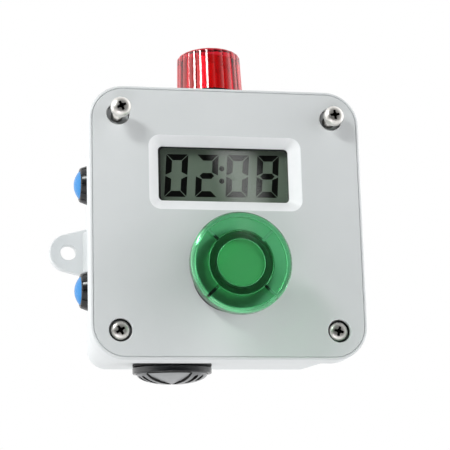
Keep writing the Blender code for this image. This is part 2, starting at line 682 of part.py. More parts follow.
def make_start_button(panel):
    """The lit mushroom button: cap, diffuser and stem travel in a bushing that a nut clamps to the lid."""
    start = seat("start_seat", (0.0, START_UP, 0.0), (0.0, 0.0, 0.0), panel)
    collar_low = GASKET + 2 * GAP
    collar_top = collar_low + COLLAR_HIGH
    neck_top = collar_top + NECK_HIGH
    ring("start_gasket", COLLAR, BARREL + GAP, GAP, GAP + GASKET, start, BLACK_RUBBER)
    bushing = [
        (NECK, neck_top), (NECK, collar_top), (COLLAR, collar_top), (COLLAR, collar_low),
        (BARREL, collar_low), (BARREL, -BARREL_REACH),
        (BARREL_BORE, -BARREL_REACH), (BARREL_BORE, neck_top),
    ]
    turned("start_bushing", bushing, start, BLACK_PLASTIC, sides=SIDES_LARGE)
    nut_top = PANEL_BACK - GAP
    nut("start_nut", START_NUT, BARREL + GAP, nut_top - START_NUT_THICK, nut_top, start, BLACK_PLASTIC)
    roof = CAP_FACE - CAP_ROOF
    tube_low = roof - CAP_TUBE_LONG
    make_cap(start, roof, tube_low)
    head = tube_low - GAP
    diffuser = [(0.0, tube_low + DIFFUSER_THICK), (CAP_TUBE_BORE - GAP, tube_low + DIFFUSER_THICK)]
    diffuser += [(CAP_TUBE_BORE - GAP, tube_low), (0.0, tube_low)]
    turned("start_diffuser", diffuser, start, WHITE_PLASTIC, sides=SIDES_MIDDLE)
    ledge = head - STEM_LEDGE_DEEP
    stem = [
        (CAP_TUBE, head), (CAP_TUBE, head - STEM_HEAD), (STEM, head - STEM_HEAD), (STEM, -STEM_REACH),
        (STEM_BORE, -STEM_REACH), (STEM_BORE, ledge - STEM_LEDGE_THICK),
        (STEM_LEDGE, ledge - STEM_LEDGE_THICK), (STEM_LEDGE, ledge), (STEM_BORE, ledge), (STEM_BORE, head),
    ]
    turned("start_stem", stem, start, BLACK_PLASTIC, sides=SIDES_MIDDLE)
    make_contacts(start)
    floor = -BARREL_REACH - GAP - BLOCK_WELL
    low, high = floor + GAP + START_WIRE, ledge - STEM_LEDGE_THICK - GAP - START_WIRE
    coil("start_spring", START_SPRING, START_WIRE, low, high, START_TURNS, start, STEEL)
    bulb = dome(LAMP, LAMP_TOP - LAMP, LAMP_TOP, 4) + [(LAMP, floor + GAP), (0.0, floor + GAP)]
    turned("start_lamp", bulb, start, WHITE_PLASTIC)


def make_cap(start, roof, tube_low):
    """The mushroom lens: a domed face, a skirt, an inner tube and ribs between tube and skirt."""
    edge = CAP_FACE - CAP_EDGE
    skirt_low = CAP_FACE - CAP_SKIRT
    inside = CAP - CAP_WALL
    profile = [(0.0, CAP_FACE + CAP_DOME), (CAP / 2, CAP_FACE + CAP_DOME_HALFWAY)]
    profile += [(CAP - CAP_EDGE + radius, level) for radius, level in dome(CAP_EDGE, edge, CAP_FACE, 3)]
    profile += [
        (CAP, skirt_low), (inside, skirt_low), (inside, roof), (CAP_TUBE, roof), (CAP_TUBE, tube_low),
        (CAP_TUBE_BORE, tube_low), (CAP_TUBE_BORE, roof), (0.0, roof),
    ]
    cap = turned("start_cap", profile, start, GREEN_LENS, sides=SIDES_LARGE)
    length = inside - CAP_TUBE + CAP_WALL
    middle = (inside + CAP_TUBE) / 2
    for index in range(CAP_RIBS):
        angle = 2 * math.pi * (index + 0.5) / CAP_RIBS
        rib = plate("cap_rib", length, CAP_RIB, skirt_low + CAP_EDGE, roof + CAP_ROOF / 2)
        place = (middle * math.cos(angle), middle * math.sin(angle), 0.0)
        cut(cap, put("cap_rib", rib, start, at=place, turn=(0.0, 0.0, angle)), "UNION")


def make_contacts(start):
    """The contact block behind the bushing, its two fixed pins and the ring that bridges them."""
    top = -BARREL_REACH - GAP
    floor = top - BLOCK_WELL
    low = top - BLOCK_LONG
    block_mesh = plate("contact_block", BLOCK_SIDE, BLOCK_SIDE, low, top, BLOCK_CORNER)
    contact_block = put("contact_block", block_mesh, start, BLACK_PLASTIC)
    well = rod("block_well", STEM + 2 * BARREL_PLAY, floor, top + OVERCUT, SIDES_LARGE)
    cut(contact_block, put("block_well", well, start))
    ring_top = -STEM_REACH - GAP
    ring("contact_ring", STEM - GAP, STEM_BORE + GAP, ring_top - CONTACT_THICK, ring_top, start, BRASS)
    pin_top = ring_top - CONTACT_THICK - START_TRAVEL - GAP
    for name, side in (("left", -1), ("right", 1)):
        place = (side * PIN_OUT, 0.0, 0.0)
        hole = rod("pin_hole_" + name, PIN + GAP, low - OVERCUT, floor + OVERCUT, SIDES_TINY)
        cut(contact_block, put("pin_hole_" + name, hole, start, at=place))
        pin = rod("contact_pin_" + name, PIN, low - PIN_TAIL, pin_top, SIDES_TINY)
        put("contact_pin_" + name, pin, start, BRASS, at=place)


def drill(box, name, radius, carrier):
    """Opens a round hole in one of the box's sides."""
    hole = rod(name + "_hole", radius, -2 * BOX_WALL, BOX_WALL, SIDES_LARGE)
    cut(box, put(name + "_hole", hole, carrier))


def make_side_button(box, panel, name, up):
    """A push button in the left side: a blue dome on a headed stem, sprung inside a threaded bezel."""
    out = side_seat(BEZEL)
    carrier = seat(f"side_{name}_seat", (-out, up, -SIDE_BACK), (0.0, -QUARTER, 0.0), panel)
    drill(box, f"side_{name}", SIDE_BARREL + GAP, carrier)
    spot = rod(f"side_{name}_spot", BEZEL + GAP, 0.0, BOX_WALL, SIDES_LARGE)
    cut(box, put(f"side_{name}_spot", spot, carrier))
    well = BEZEL_HIGH - BEZEL_WELL
    web = well - BEZEL_WEB
    bezel = [
        (BEZEL_FRONT, BEZEL_HIGH), (BEZEL, GAP), (SIDE_BARREL, GAP), (SIDE_BARREL, -SIDE_REACH),
        (SIDE_BORE, -SIDE_REACH), (SIDE_BORE, web), (SIDE_STEM + GAP, web), (SIDE_STEM + GAP, well),
        (DOME + GAP, well), (DOME + GAP, BEZEL_HIGH),
    ]
    turned(f"side_{name}_bezel", bezel, carrier, BLACK_PLASTIC, sides=SIDES_MIDDLE)
    top = BEZEL_HIGH + DOME_PROUD
    base = well + SIDE_TRAVEL + GAP
    socket = SIDE_STEM_NECK + GAP
    cap = dome(DOME, top - DOME_HIGH, top, 5)
    cap += [(DOME, base), (socket, base), (socket, base + DOME_SOCKET), (0.0, base + DOME_SOCKET)]
    turned(f"side_{name}_cap", cap, carrier, BLUE_PLASTIC, sides=SIDES_MIDDLE)
    neck_top = base + DOME_SOCKET - GAP
    head_top = web - GAP
    head_low = head_top - SIDE_STEM_HEAD_LONG
    stem = [
        (0.0, neck_top), (SIDE_STEM_NECK, neck_top), (SIDE_STEM_NECK, base - GAP), (SIDE_STEM, base - GAP),
        (SIDE_STEM, head_top), (SIDE_STEM_HEAD, head_top), (SIDE_STEM_HEAD, head_low), (0.0, head_low),
    ]
    turned(f"side_{name}_stem", stem, carrier, BLACK_PLASTIC)
    switch_top = -SIDE_REACH - GAP
    low, high = switch_top + GAP + SIDE_WIRE, head_low - GAP - SIDE_WIRE
    coil(f"side_{name}_spring", SIDE_SPRING, SIDE_WIRE, low, high, SIDE_TURNS, carrier, STEEL)
    switch = [(0.0, switch_top), (SWITCH, switch_top), (SWITCH, switch_top - SWITCH_LONG)]
    switch += [(0.0, switch_top - SWITCH_LONG)]
    turned(f"side_{name}_switch", switch, carrier, BLACK_PLASTIC)
    nut_top = side_seat(SIDE_NUT) - BOX_WALL - out - GAP
    nut(
        f"side_{name}_nut", SIDE_NUT, SIDE_BARREL + GAP, nut_top - SIDE_NUT_THICK, nut_top, carrier, STEEL
    )


def make_beacon(box, panel):
    """The beacon on top: a lens screwed to a base, which a nut clamps to the box over a gasket."""
    carrier = wall_seat("beacon_seat", 0.0, 1, panel)
    drill(box, "beacon", BEACON_STEM + GAP, carrier)
    base_low = GASKET + 2 * GAP
    ring("beacon_gasket", BEACON_BASE, BEACON_STEM + GAP, GAP, GAP + GASKET, carrier, BLACK_RUBBER)
    lens_low = BEACON_HIGH - LENS_HIGH
    base_top = lens_low - GAP
    inside = LENS - LENS_WALL
    spigot = inside - GAP
    base = [
        (spigot, base_top + BEACON_SPIGOT), (spigot, base_top), (BEACON_BASE, base_top),
        (BEACON_BASE, base_low), (BEACON_STEM, base_low), (BEACON_STEM, -BEACON_STEM_LONG),
        (BEACON_BORE, -BEACON_STEM_LONG), (BEACON_BORE, base_top + BEACON_SPIGOT),
    ]
    turned("beacon_base", base, carrier, BLACK_PLASTIC, sides=SIDES_LARGE)
    edge = dome(LENS_EDGE, BEACON_HIGH - LENS_EDGE, BEACON_HIGH, 3)
    roof = BEACON_HIGH - LENS_WALL
    lens = [(0.0, BEACON_HIGH)]
    lens += [(LENS - LENS_DRAFT - LENS_EDGE + radius, level) for radius, level in edge]
    lens += [(LENS, lens_low), (inside, lens_low), (inside - LENS_DRAFT, roof), (0.0, roof)]
    turned("beacon_lens", lens, carrier, RED_LENS, sides=SIDES_LARGE)
    foot = base_top + BEACON_SPIGOT + GAP
    lamp = dome(BEACON_LAMP, foot + BEACON_LAMP_HIGH - BEACON_LAMP, foot + BEACON_LAMP_HIGH, 4)
    turned("beacon_lamp", lamp + [(BEACON_LAMP, foot), (0.0, foot)], carrier, WHITE_PLASTIC)
    nut_top = -WALL_THROUGH - GAP
    nut(
        "beacon_nut", BEACON_NUT, BEACON_STEM + GAP, nut_top - BEACON_NUT_THICK, nut_top, carrier,
        BLACK_PLASTIC,
    )


def make_sounder(box, panel):
    """The sounder underneath: a flanged cup with a grille in its mouth and a disc on a step inside."""
    carrier = wall_seat("sounder_seat", SOUNDER_X, -1, panel)
    drill(box, "sounder", SOUNDER_BARREL + GAP, carrier)
    ring("sounder_gasket", SOUNDER, SOUNDER_BARREL + GAP, GAP, GAP + GASKET, carrier, BLACK_RUBBER)
    flange_low = GASKET + 2 * GAP
    grille_seat = SOUNDER_HIGH - GRILLE_SEAT
    step = grille_seat - DISC_DEEP
    low = -SOUNDER_REACH
    narrow = SOUNDER_BORE - SOUNDER_STEP
    cup = [
        (SOUNDER, SOUNDER_HIGH), (SOUNDER, flange_low), (SOUNDER_BARREL, flange_low), (SOUNDER_BARREL, low),
        (SOUNDER_WIRE_HOLE, low), (SOUNDER_WIRE_HOLE, low + SOUNDER_FLOOR), (narrow, low + SOUNDER_FLOOR),
        (narrow, step), (SOUNDER_BORE, step), (SOUNDER_BORE, grille_seat), (GRILLE + GAP, grille_seat),
        (GRILLE + GAP, SOUNDER_HIGH),
    ]
    turned("sounder_body", cup, carrier, BLACK_PLASTIC, sides=SIDES_LARGE)
    ground = grille_seat + GAP
    crown = dome(GRILLE, SOUNDER_HIGH, SOUNDER_HIGH + GRILLE_DOME, 5)
    crown += [(GRILLE, ground), (0.0, ground)]
    grille = turned("sounder_grille", crown, carrier, BLACK_PLASTIC, sides=SIDES_LARGE)
    slot_top = SOUNDER_HIGH + GRILLE_DOME + OVERCUT
    across, along = math.sin(GRILLE_SPREAD), math.cos(GRILLE_SPREAD)
    for index in range(GRILLE_SLOTS):
        out = (index + 1) * GRILLE_SLOT_PITCH
        reach = math.sqrt((GRILLE - GRILLE_RIM) ** 2 - out**2)
        middle = (reach + GRILLE_BAND) / 2
        slot = plate("grille_slot", reach - GRILLE_BAND, GRILLE_SLOT, ground - OVERCUT, slot_top)
        for side in (-1, 1):
            place = (side * (out * across + middle * along), out * along - middle * across, 0.0)
            turn = (0.0, 0.0, -side * GRILLE_SPREAD)
            cut(grille, put("grille_slot", slot, carrier, at=place, turn=turn))
    disc_low = step + GAP
    disc = [(0.0, disc_low + DISC_THICK), (SOUNDER_BORE - GAP, disc_low + DISC_THICK)]
    disc += [(SOUNDER_BORE - GAP, disc_low), (0.0, disc_low)]
    turned("sounder_disc", disc, carrier, BRASS, sides=SIDES_MIDDLE)
    nut_top = -WALL_THROUGH - GAP
    nut(
        "sounder_nut", SOUNDER_NUT, SOUNDER_BARREL + GAP, nut_top - SOUNDER_NUT_THICK, nut_top, carrier,
        BLACK_PLASTIC,
    )


def make_battery(panel):
    """A tray on the box's floor with a row of cells lying across it."""
    floor = BOX_FLOOR + GAP
    pocket_long = CELL_LONG + CELL_NUB_LONG + 2 * GAP
    pocket_wide = 2 * (CELL + GAP)
    pitch = pocket_wide + TRAY_RIB
    wide = pocket_long + 2 * TRAY_WALL
    high = CELL_COUNT * pitch - TRAY_RIB + TRAY_WALL
    tray = plate("battery_tray", wide, high, floor, floor + TRAY_DEEP, TRAY_CORNER)
    tray = put("battery_tray", tray, panel, BLACK_PLASTIC, at=(0.0, TRAY_UP, 0.0))
    bed = floor + TRAY_FLOOR
    profile = [
        (0.0, CELL_NUB_LONG), (CELL_NUB, CELL_NUB_LONG), (CELL_NUB, 0.0), (CELL, 0.0),
        (CELL, -CELL_LONG), (0.0, -CELL_LONG),
    ]
    for index in range(CELL_COUNT):
        up = TRAY_UP + (index - (CELL_COUNT - 1) / 2) * pitch
        pocket = plate("cell_pocket", pocket_long, pocket_wide, bed, floor + TRAY_DEEP + OVERCUT)
        cut(tray, put("cell_pocket", pocket, panel, at=(0.0, up, 0.0)))
        side = 1 if index % 2 == 0 else -1
        place = (side * (CELL_LONG - CELL_NUB_LONG) / 2, up, bed + GAP + CELL)
        turn = (0.0, side * QUARTER, 0.0)
        turned(f"battery_cell_{index + 1}", profile, panel, CELL_JACKET, at=place, turn=turn)


def make_timer():
    """Puts the whole timer on its wall."""
    panel = seat("panel", (0.0, -DEPTH, 0.0), (QUARTER, 0.0, 0.0))
    box = make_box(panel)
    make_lid(panel)
    make_gasket(panel)
    make_lid_screws(panel)
    make_display(panel)
    make_start_button(panel)
    make_side_button(box, panel, "upper", SIDE_UP)
    make_side_button(box, panel, "lower", -SIDE_UP)
    make_beacon(box, panel)
    make_sounder(box, panel)
    make_battery(panel)


make_timer()
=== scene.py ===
# %% [markdown]
# A process timer in a moulded wall box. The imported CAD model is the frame: it fixes every size, place and
# motion. This notebook gives the visible pieces their real shapes and every piece its real finish.

# %% Frame
import math

import bmesh
import bpy
from mathutils import Matrix, Quaternion, Vector


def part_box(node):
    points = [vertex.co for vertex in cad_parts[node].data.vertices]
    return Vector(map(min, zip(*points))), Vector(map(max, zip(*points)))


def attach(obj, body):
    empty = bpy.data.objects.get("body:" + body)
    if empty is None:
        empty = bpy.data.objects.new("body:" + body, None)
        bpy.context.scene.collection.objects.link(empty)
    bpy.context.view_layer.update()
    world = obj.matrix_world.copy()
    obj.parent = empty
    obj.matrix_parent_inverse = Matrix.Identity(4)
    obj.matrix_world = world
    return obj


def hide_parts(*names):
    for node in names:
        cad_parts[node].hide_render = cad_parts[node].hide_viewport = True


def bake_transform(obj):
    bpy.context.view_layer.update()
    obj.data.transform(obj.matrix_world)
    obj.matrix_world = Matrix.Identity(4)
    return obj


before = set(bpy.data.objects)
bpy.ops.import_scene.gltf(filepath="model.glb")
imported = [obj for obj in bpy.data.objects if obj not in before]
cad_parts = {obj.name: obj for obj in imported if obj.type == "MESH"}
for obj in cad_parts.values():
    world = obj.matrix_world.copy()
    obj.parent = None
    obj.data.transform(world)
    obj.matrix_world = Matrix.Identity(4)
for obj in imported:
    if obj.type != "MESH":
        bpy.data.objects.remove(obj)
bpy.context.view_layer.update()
scene = bpy.context.scene

# %% [markdown]
# Every sub-assembly is easiest to draw on its own seat, with local +Z pointing out of the box. A seat is a
# matrix, and its place is read from the CAD boxes, so nothing has to be fitted by eye. Empties as parents
# could do the same, but a matrix leaves nothing extra in the scene.

# %% Seats
MM = 0.001
QUARTER = math.pi / 2
GAP = 0.3 * MM  # the CAD model's clearance between pieces that touch


def seat(at, out, up):
    """The matrix of a seat: local +Z points out of the box and local +Y points up."""
    out, up = Vector(out), Vector(up)
    return Matrix.Translation(at) @ Matrix((up.cross(out), up, out)).transposed().to_4x4()


def on_seat(node, place):
    """A CAD node's lowest and highest points, as a seat sees them."""
    points = [place.inverted() @ vertex.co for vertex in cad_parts[node].data.vertices]
    return Vector(map(min, *points)), Vector(map(max, *points))


def middle(node):
    """The middle of a CAD node's box."""
    low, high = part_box(node)
    return (low + high) / 2


BEZEL_HIGH = 4.6 * MM  # front of a side bezel over its seat
SOUNDER_HIGH = 4.3 * MM  # rim of the sounder over its seat
BOX_DRAFT = 4.2 * MM  # how much each side of the box draws in towards the wall

PANEL = seat((0.0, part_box("lid")[0].y, 0.0), (0, -1, 0), (0, 0, 1))
DISPLAY = PANEL @ Matrix.Translation((0.0, middle("lcd_panel").z, 0.0))
START = PANEL @ Matrix.Translation((0.0, middle("start_cap").z, 0.0))
SIDES = {}
for name in ("upper", "lower"):
    bezel = middle(f"side_{name}_bezel")
    bezel.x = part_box(f"side_{name}_bezel")[0].x + BEZEL_HIGH
    SIDES[name] = seat(bezel, (-1, 0, 0), (0, 0, 1))
rim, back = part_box("back_box")
side_y = middle("side_upper_bezel").y
slope = BOX_DRAFT / (back.y - rim.y)
wall = back.z - slope * (side_y - rim.y)
lean, upright = math.sin(math.atan(slope)), math.cos(math.atan(slope))
BEACON = seat((0.0, side_y, wall), (0, lean, upright), (0, upright, -lean))
SOUNDER = seat((middle("sounder_body").x, side_y, -wall), (0, lean, -upright), (0, -upright, -lean))
for name, place in (("panel", PANEL), ("beacon", BEACON), ("sounder", SOUNDER)):
    print(name, "seat at", [round(value / MM, 2) for value in place.translation], "mm")

# %% [markdown]
# The camera stands low and a little to the left, about 0.67 m from the lid, with a long lens. Its place and
# focal length were solved from the lid's edges and its four screw holes, so the object fills the same
# frame.

# %% Camera
PHOTO_SIDE = 450.0  # pixels
FOCAL = 1659.2  # pixels
SENSOR = 36.0  # mm
CAMERA_AT = Vector((-127.99, -702.45, -153.74)) * MM
CAMERA_AIM = Vector((-1.525, -66.0, -1.384)) * MM
CAMERA_ROLL = math.radians(-1.58)


def link(name, data):
    """A new object in the scene."""
    made = bpy.data.objects.new(name, data)
    scene.collection.objects.link(made)
    return made


camera = link("camera", bpy.data.cameras.new("camera"))
scene.camera = camera
camera.data.sensor_width = SENSOR
camera.data.lens = FOCAL / PHOTO_SIDE * SENSOR
camera.data.clip_start = 0.05
camera.location = CAMERA_AT
aim = CAMERA_AIM - CAMERA_AT
roll = Quaternion((0, 0, 1), CAMERA_ROLL)
camera.rotation_mode = "QUATERNION"
camera.rotation_quaternion = aim.to_track_quat("-Z", "Y") @ roll
print("lens", round(camera.data.lens, 1), "mm at", round(aim.length, 3), "m")

# %% [markdown]
# Materials and light are node trees. One small function adds any node, sets it up and links it, so each
# tree reads as a list of what it holds. Colours are written as sRGB hex codes and made linear in one place.

# %% Nodes
WHITE = (1.0, 1.0, 1.0, 1.0)


def linear(code):
    """The linear colour of an sRGB hex code."""
    parts = [int(code[i : i + 2], 16) / 255 for i in (1, 3, 5)]
    return (*(p / 12.92 if p <= 0.04045 else ((p + 0.055) / 1.055) ** 2.4 for p in parts), 1.0)


def add(tree, kind, links=None, **settings):
    """Adds a node with its settings; links gives its sockets a value or another node's output."""
    made = tree.nodes.new(kind)
    for name, value in settings.items():
        setattr(made, name, value)
    for socket, value in (links or {}).items():
        if isinstance(value, bpy.types.NodeSocket):
            tree.links.new(value, made.inputs[socket])
        else:
            made.inputs[socket].default_value = value
    return made


def start_look(name, sockets):
    """A new material and its tree, with constants set on the shader's own sockets."""
    look = bpy.data.materials.new(name)
    look.use_nodes = True
    shader = look.node_tree.nodes["Principled BSDF"]
    for socket, value in sockets.items():
        shader.inputs[socket].default_value = value
    return look, look.node_tree, shader


print("middle grey is", round(linear("#808080")[0], 3), "in linear light")

# %% [markdown]
# The photograph was lit like a product in a white tent: bright walls at both sides and behind, darker where
# the tent is open to the camera. The world does that with a slope of light from front to back and brighter
# sides, and the camera gets plain white. Metal and clear plastics mirror the white walls and dark opening.
# White planes could do the same, but they would stand in the way of other views.

# %% Tent
scene.view_settings.view_transform = "Standard"
TENT_EVEN, TENT_BACK, TENT_TOP = 0.02, 0.80, 0.05  # light all round, more from behind and above
TENT_SIDES, TENT_RIGHT = 2.45, 1.08  # more from both side walls, and from the right one again
OPENING_SHINE, OPENING_EDGE = 0.03, -0.9  # a reflection of the opening's middle, and where that ends
world = bpy.data.worlds.new("white_tent")
scene.world = world
world.use_nodes = True
tree = world.node_tree
tree.nodes.clear()
ray = add(tree, "ShaderNodeLightPath").outputs
way = add(tree, "ShaderNodeTexCoord").outputs["Generated"]
way = add(tree, "ShaderNodeSeparateXYZ", {"Vector": way}).outputs
right = add(tree, "ShaderNodeMath", {0: way["X"], 1: 0.0}, operation="MAXIMUM").outputs[0]
sides = add(tree, "ShaderNodeMath", {0: way["X"], 1: 2.0}, operation="POWER").outputs[0]
level = TENT_EVEN
walls = ((way["Z"], TENT_TOP), (way["Y"], TENT_BACK), (sides, TENT_SIDES), (right, TENT_RIGHT))
for part, factor in walls:
    level = add(tree, "ShaderNodeMath", {0: part, 1: factor, 2: level}, operation="MULTIPLY_ADD").outputs[0]
level = add(tree, "ShaderNodeMath", {0: level, 1: 0.0}, operation="MAXIMUM").outputs[0]
shine = {"Value": way["Y"], "From Min": OPENING_EDGE, "From Max": 0.0, "To Min": OPENING_SHINE, "To Max": 1.0}
shine = add(tree, "ShaderNodeMapRange", shine).outputs["Result"]
shine = add(tree, "ShaderNodeMath", {0: sides, 1: shine, 2: shine}, operation="MULTIPLY_ADD").outputs[0]
lit = add(tree, "ShaderNodeBackground", {"Color": WHITE, "Strength": level}).outputs[0]
mirrored = add(tree, "ShaderNodeBackground", {"Color": WHITE, "Strength": shine}).outputs[0]
shown = add(tree, "ShaderNodeBackground", {"Color": WHITE, "Strength": 1.0}).outputs[0]
clear = {0: ray["Is Glossy Ray"], 1: ray["Is Transmission Ray"]}
clear = add(tree, "ShaderNodeMath", clear, operation="MAXIMUM").outputs[0]
glossy = add(tree, "ShaderNodeMixShader", {0: clear, 1: lit, 2: mirrored}).outputs[0]
every = add(tree, "ShaderNodeMixShader", {0: ray["Is Camera Ray"], 1: glossy, 2: shown}).outputs[0]
add(tree, "ShaderNodeOutputWorld", {"Surface": every})
print("tent", TENT_EVEN, "all round and", TENT_EVEN + TENT_BACK, "behind")

# %% [markdown]
# Two compact lamps give the soft double shadows: a strong one high up to the left, and a weak one below.
# The strong one is a wide bar, and the beacon's flutes mirror it as white strips. Point lamps would cast
# hard shadows, and much larger lamps hardly any.

# %% Lamps
LIT_POINT = Vector((0.0, -66.0, 0.0)) * MM


def lamp(name, way, distance, size, power, colour):
    """A rectangular lamp that shines at the middle of the lid."""
    data = bpy.data.lights.new(name, "AREA")
    data.shape = "RECTANGLE"
    data.size, data.size_y = size
    data.energy = power
    data.color = linear(colour)[:3]
    made = link(name, data)
    way = Vector(way).normalized()
    made.location = LIT_POINT + way * distance
    made.rotation_mode = "QUATERNION"
    made.rotation_quaternion = (-way).to_track_quat("-Z", "Y")
    made.visible_camera = False
    print(name, [round(value, 2) for value in made.location], power, "W")


lamp("left_lamp", way=(-0.597, -0.565, 0.57), distance=0.72, size=(0.24, 0.10), power=2.1, colour="#FCFFFD")
lamp("low_lamp", way=(-0.27, -0.82, -0.5), distance=0.7, size=(0.16, 0.12), power=0.3, colour="#FFF6FF")

# %% [markdown]
# The box hangs on a wall, so nothing stands under it. A pale floor lies well below, catches the shadow and
# throws white light back up at the underside. It is a disc, because that has no corners to come into view.

# %% Floor
FLOOR_LEVEL = -0.45  # m
FLOOR_RADIUS = 1.6  # m


def to_mesh(name, shape):
    """The mesh of a bmesh, which is freed."""
    mesh = bpy.data.meshes.new(name)
    shape.to_mesh(mesh)
    shape.free()
    return mesh


shape = bmesh.new()
bmesh.ops.create_circle(shape, cap_ends=True, segments=96, radius=FLOOR_RADIUS)
floor = link("studio_floor", to_mesh("studio_floor", shape))
floor.location.z = FLOOR_LEVEL
matt = start_look("matt_paper", {"Base Color": linear("#F3F3F3"), "Roughness": 0.9})[0]
floor.data.materials.append(matt)
print("floor at", FLOOR_LEVEL, "m")

# %% [markdown]
# Most plastics here come from the same process, injection moulding, and differ in colour, shine and grain.
# A slow noise gives the faint flow marks and a fine one the grain that the steel mould left. The sizes are
# in millimetres. A pixel is 0.4 mm wide on the lid, so finer grain is drawn coarse enough to show. Painted
# pictures would need every mesh unwrapped; noise follows the object's own coordinates.

# %% Moulded plastics


def marked(tree, shader, pale, dark, size, shine, **noise):
    """Marks of a given size in mm, which change the colour and the roughness; returns their coordinates."""
    spot = add(tree, "ShaderNodeTexCoord").outputs["Object"]
    marks = {"Vector": spot, "Scale": 1 / (size * MM), **noise}
    marks = add(tree, "ShaderNodeTexNoise", marks).outputs[0]
    colour = {0: marks, 6: linear(dark), 7: linear(pale)}
    colour = add(tree, "ShaderNodeMix", colour, data_type="RGBA").outputs[2]
    rough = {"Value": marks, "To Min": shine[0], "To Max": shine[1]}
    rough = add(tree, "ShaderNodeMapRange", rough).outputs[0]
    tree.links.new(colour, shader.inputs["Base Color"])
    tree.links.new(rough, shader.inputs["Roughness"])
    return spot


def moulded(name, pale, dark, flow, grain, height, shine, sockets=None):
    """Flow marks between two colours, roughness that follows them, and grain of a size and height in mm."""
    look, tree, shader = start_look(name, sockets or {})
    spot = marked(tree, shader, pale, dark, flow, shine, Detail=3.0)
    fine = {"Vector": spot, "Scale": 1 / (grain * MM), "Detail": 2.0}
    fine = add(tree, "ShaderNodeTexNoise", fine).outputs[0]
    bump = {"Height": fine, "Distance": height * MM, "Strength": 1.0}
    bump = add(tree, "ShaderNodeBump", bump).outputs[0]
    tree.links.new(bump, shader.inputs["Normal"])
    return look


FINISHES = {}
# Light grey PVC from a satin mould: soft, wide highlights and no sparkle.
FINISHES["grey_pvc"] = moulded(
    "satin_moulded_pvc", "#DADDDE", "#D3D7D8", 20.0, 0.7, 0.012, (0.36, 0.46)
)
print(FINISHES["grey_pvc"].name, len(FINISHES["grey_pvc"].node_tree.nodes), "nodes")

# %% [markdown]
# The other plastics are the same kind of material with their own colours, grain and sheen. Three of them go
# on only some faces of the lid and the grille. One table of values could hold them all, but a line for each
# leaves room to say what the real plastic is.

# %% Other plastics
# Glass-filled nylon: deep black with a low sheen.
FINISHES["black_plastic"] = moulded(
    "black_moulded_nylon", "#1C1D20", "#121315", 6.0, 0.6, 0.008, (0.16, 0.26)
)
# Pressed nitrile rubber: black without a sharp highlight.
FINISHES["black_rubber"] = moulded(
    "pressed_nitrile_rubber", "#1B1B1B", "#131313", 4.0, 0.8, 0.02, (0.7, 0.85)
)
# Acetal dyed through: an even blue under a waxy gloss.
FINISHES["blue_plastic"] = moulded(
    "blue_moulded_acetal", "#3B8DD2", "#3386C9", 5.0, 0.9, 0.006, (0.22, 0.30), {"Specular IOR Level": 0.25}
)
# Opal polystyrene: white that light soaks into a little.
FINISHES["white_plastic"] = moulded(
    "opal_polystyrene", "#F0EFE9", "#E4E3DC", 5.0, 0.8, 0.006, (0.35, 0.45), {"Subsurface Weight": 0.1}
)
# Shrink sleeve round a dry cell: dark, taut and glossy.
FINISHES["cell_jacket"] = moulded(
    "shrink_sleeve", "#2B2F3A", "#20232C", 12.0, 1.2, 0.01, (0.25, 0.35), {"Coat Weight": 0.4}
)
# Painted reflection: the sounder's black grille is coloured light grey for the pale floor that it mirrors.
GRILLE_PAINTED_REFLECTION = moulded("grille_nylon_painted_reflection", "#A2A4A6", "#8E9092", 5.0, 0.6, 0.012, (0.26, 0.36))
# The window's slope is cut by a mill after moulding and scored by the cutter every 0.6 mm. Its near-white
# colour is partly the cut PVC and partly painted light, for the light that the slopes catch.
MILLED_PAINTED_LIGHT = moulded(
    "milled_pvc_painted_light", "#F9FAFC", "#F2F4F6", 3.0, 0.6, 0.03, (0.30, 0.45), {"Specular IOR Level": 0.9}
)
# Painted shade: the lower wall of each screw pocket is coloured near black, for the shade that falls deep in
# it.
POCKET_PAINTED_SHADE = moulded("pvc_painted_pocket_shade", "#242526", "#161718", 2.0, 0.6, 0.01, (0.5, 0.65))
# Painted shade: the slotted wedges of the grille are coloured darker than the plain ones, for the shade of
# their slots.
SLOTTED_PAINTED_SHADE = moulded("slotted_nylon_painted_shade", "#88898B", "#6C6E70", 2.0, 0.6, 0.012, (0.26, 0.36))
print(len(FINISHES), "moulded finishes")

# %% [markdown]
# Plated and turned metals get their look from what they reflect, so the colour stays light and the
# roughness is low. A fine noise stands for drawing and tumbling marks. Scratches could be modelled, but at
# this distance only the change of polish shows.

# %% Metals


def metal(name, bright, dull, mark, shine):
    """A plated metal with marks of a given size in mm that change its colour and polish a little."""
    look, tree, shader = start_look(name, {"Metallic": 1.0})
    marked(tree, shader, bright, dull, mark, shine, Detail=4.0, Roughness=0.6)
    return look


# Bright zinc on steel: nearly white, with a faint warm tone and crisp reflections.
FINISHES["zinc_plated_steel"] = metal("bright_zinc_on_steel", "#F2F0EC", "#DDDAD4", 1.2, (0.26, 0.42))
# Rolled brass: yellow, a little softer.
FINISHES["brass"] = metal("rolled_brass", "#E3C06A", "#C9A24E", 1.5, (0.2, 0.35))
# Painted shade: the faces inside a screw's recess get a dark steel colour for the shade that falls in it.
RECESS_PAINTED_SHADE = metal("steel_painted_recess_shade", "#302D2A", "#161412", 0.8, (0.4, 0.55))
print("metals", FINISHES["zinc_plated_steel"].name, FINISHES["brass"].name)

# %% [markdown]
# Polycarbonate is clear plastic: light bends into it, and a dye filters what comes through. Lamps can't
# shine through bent rays in a path tracer without noise, so for shadow rays alone the plastic is simply
# tinted air.

# %% Clear plastics
POLYCARBONATE_IOR = 1.585


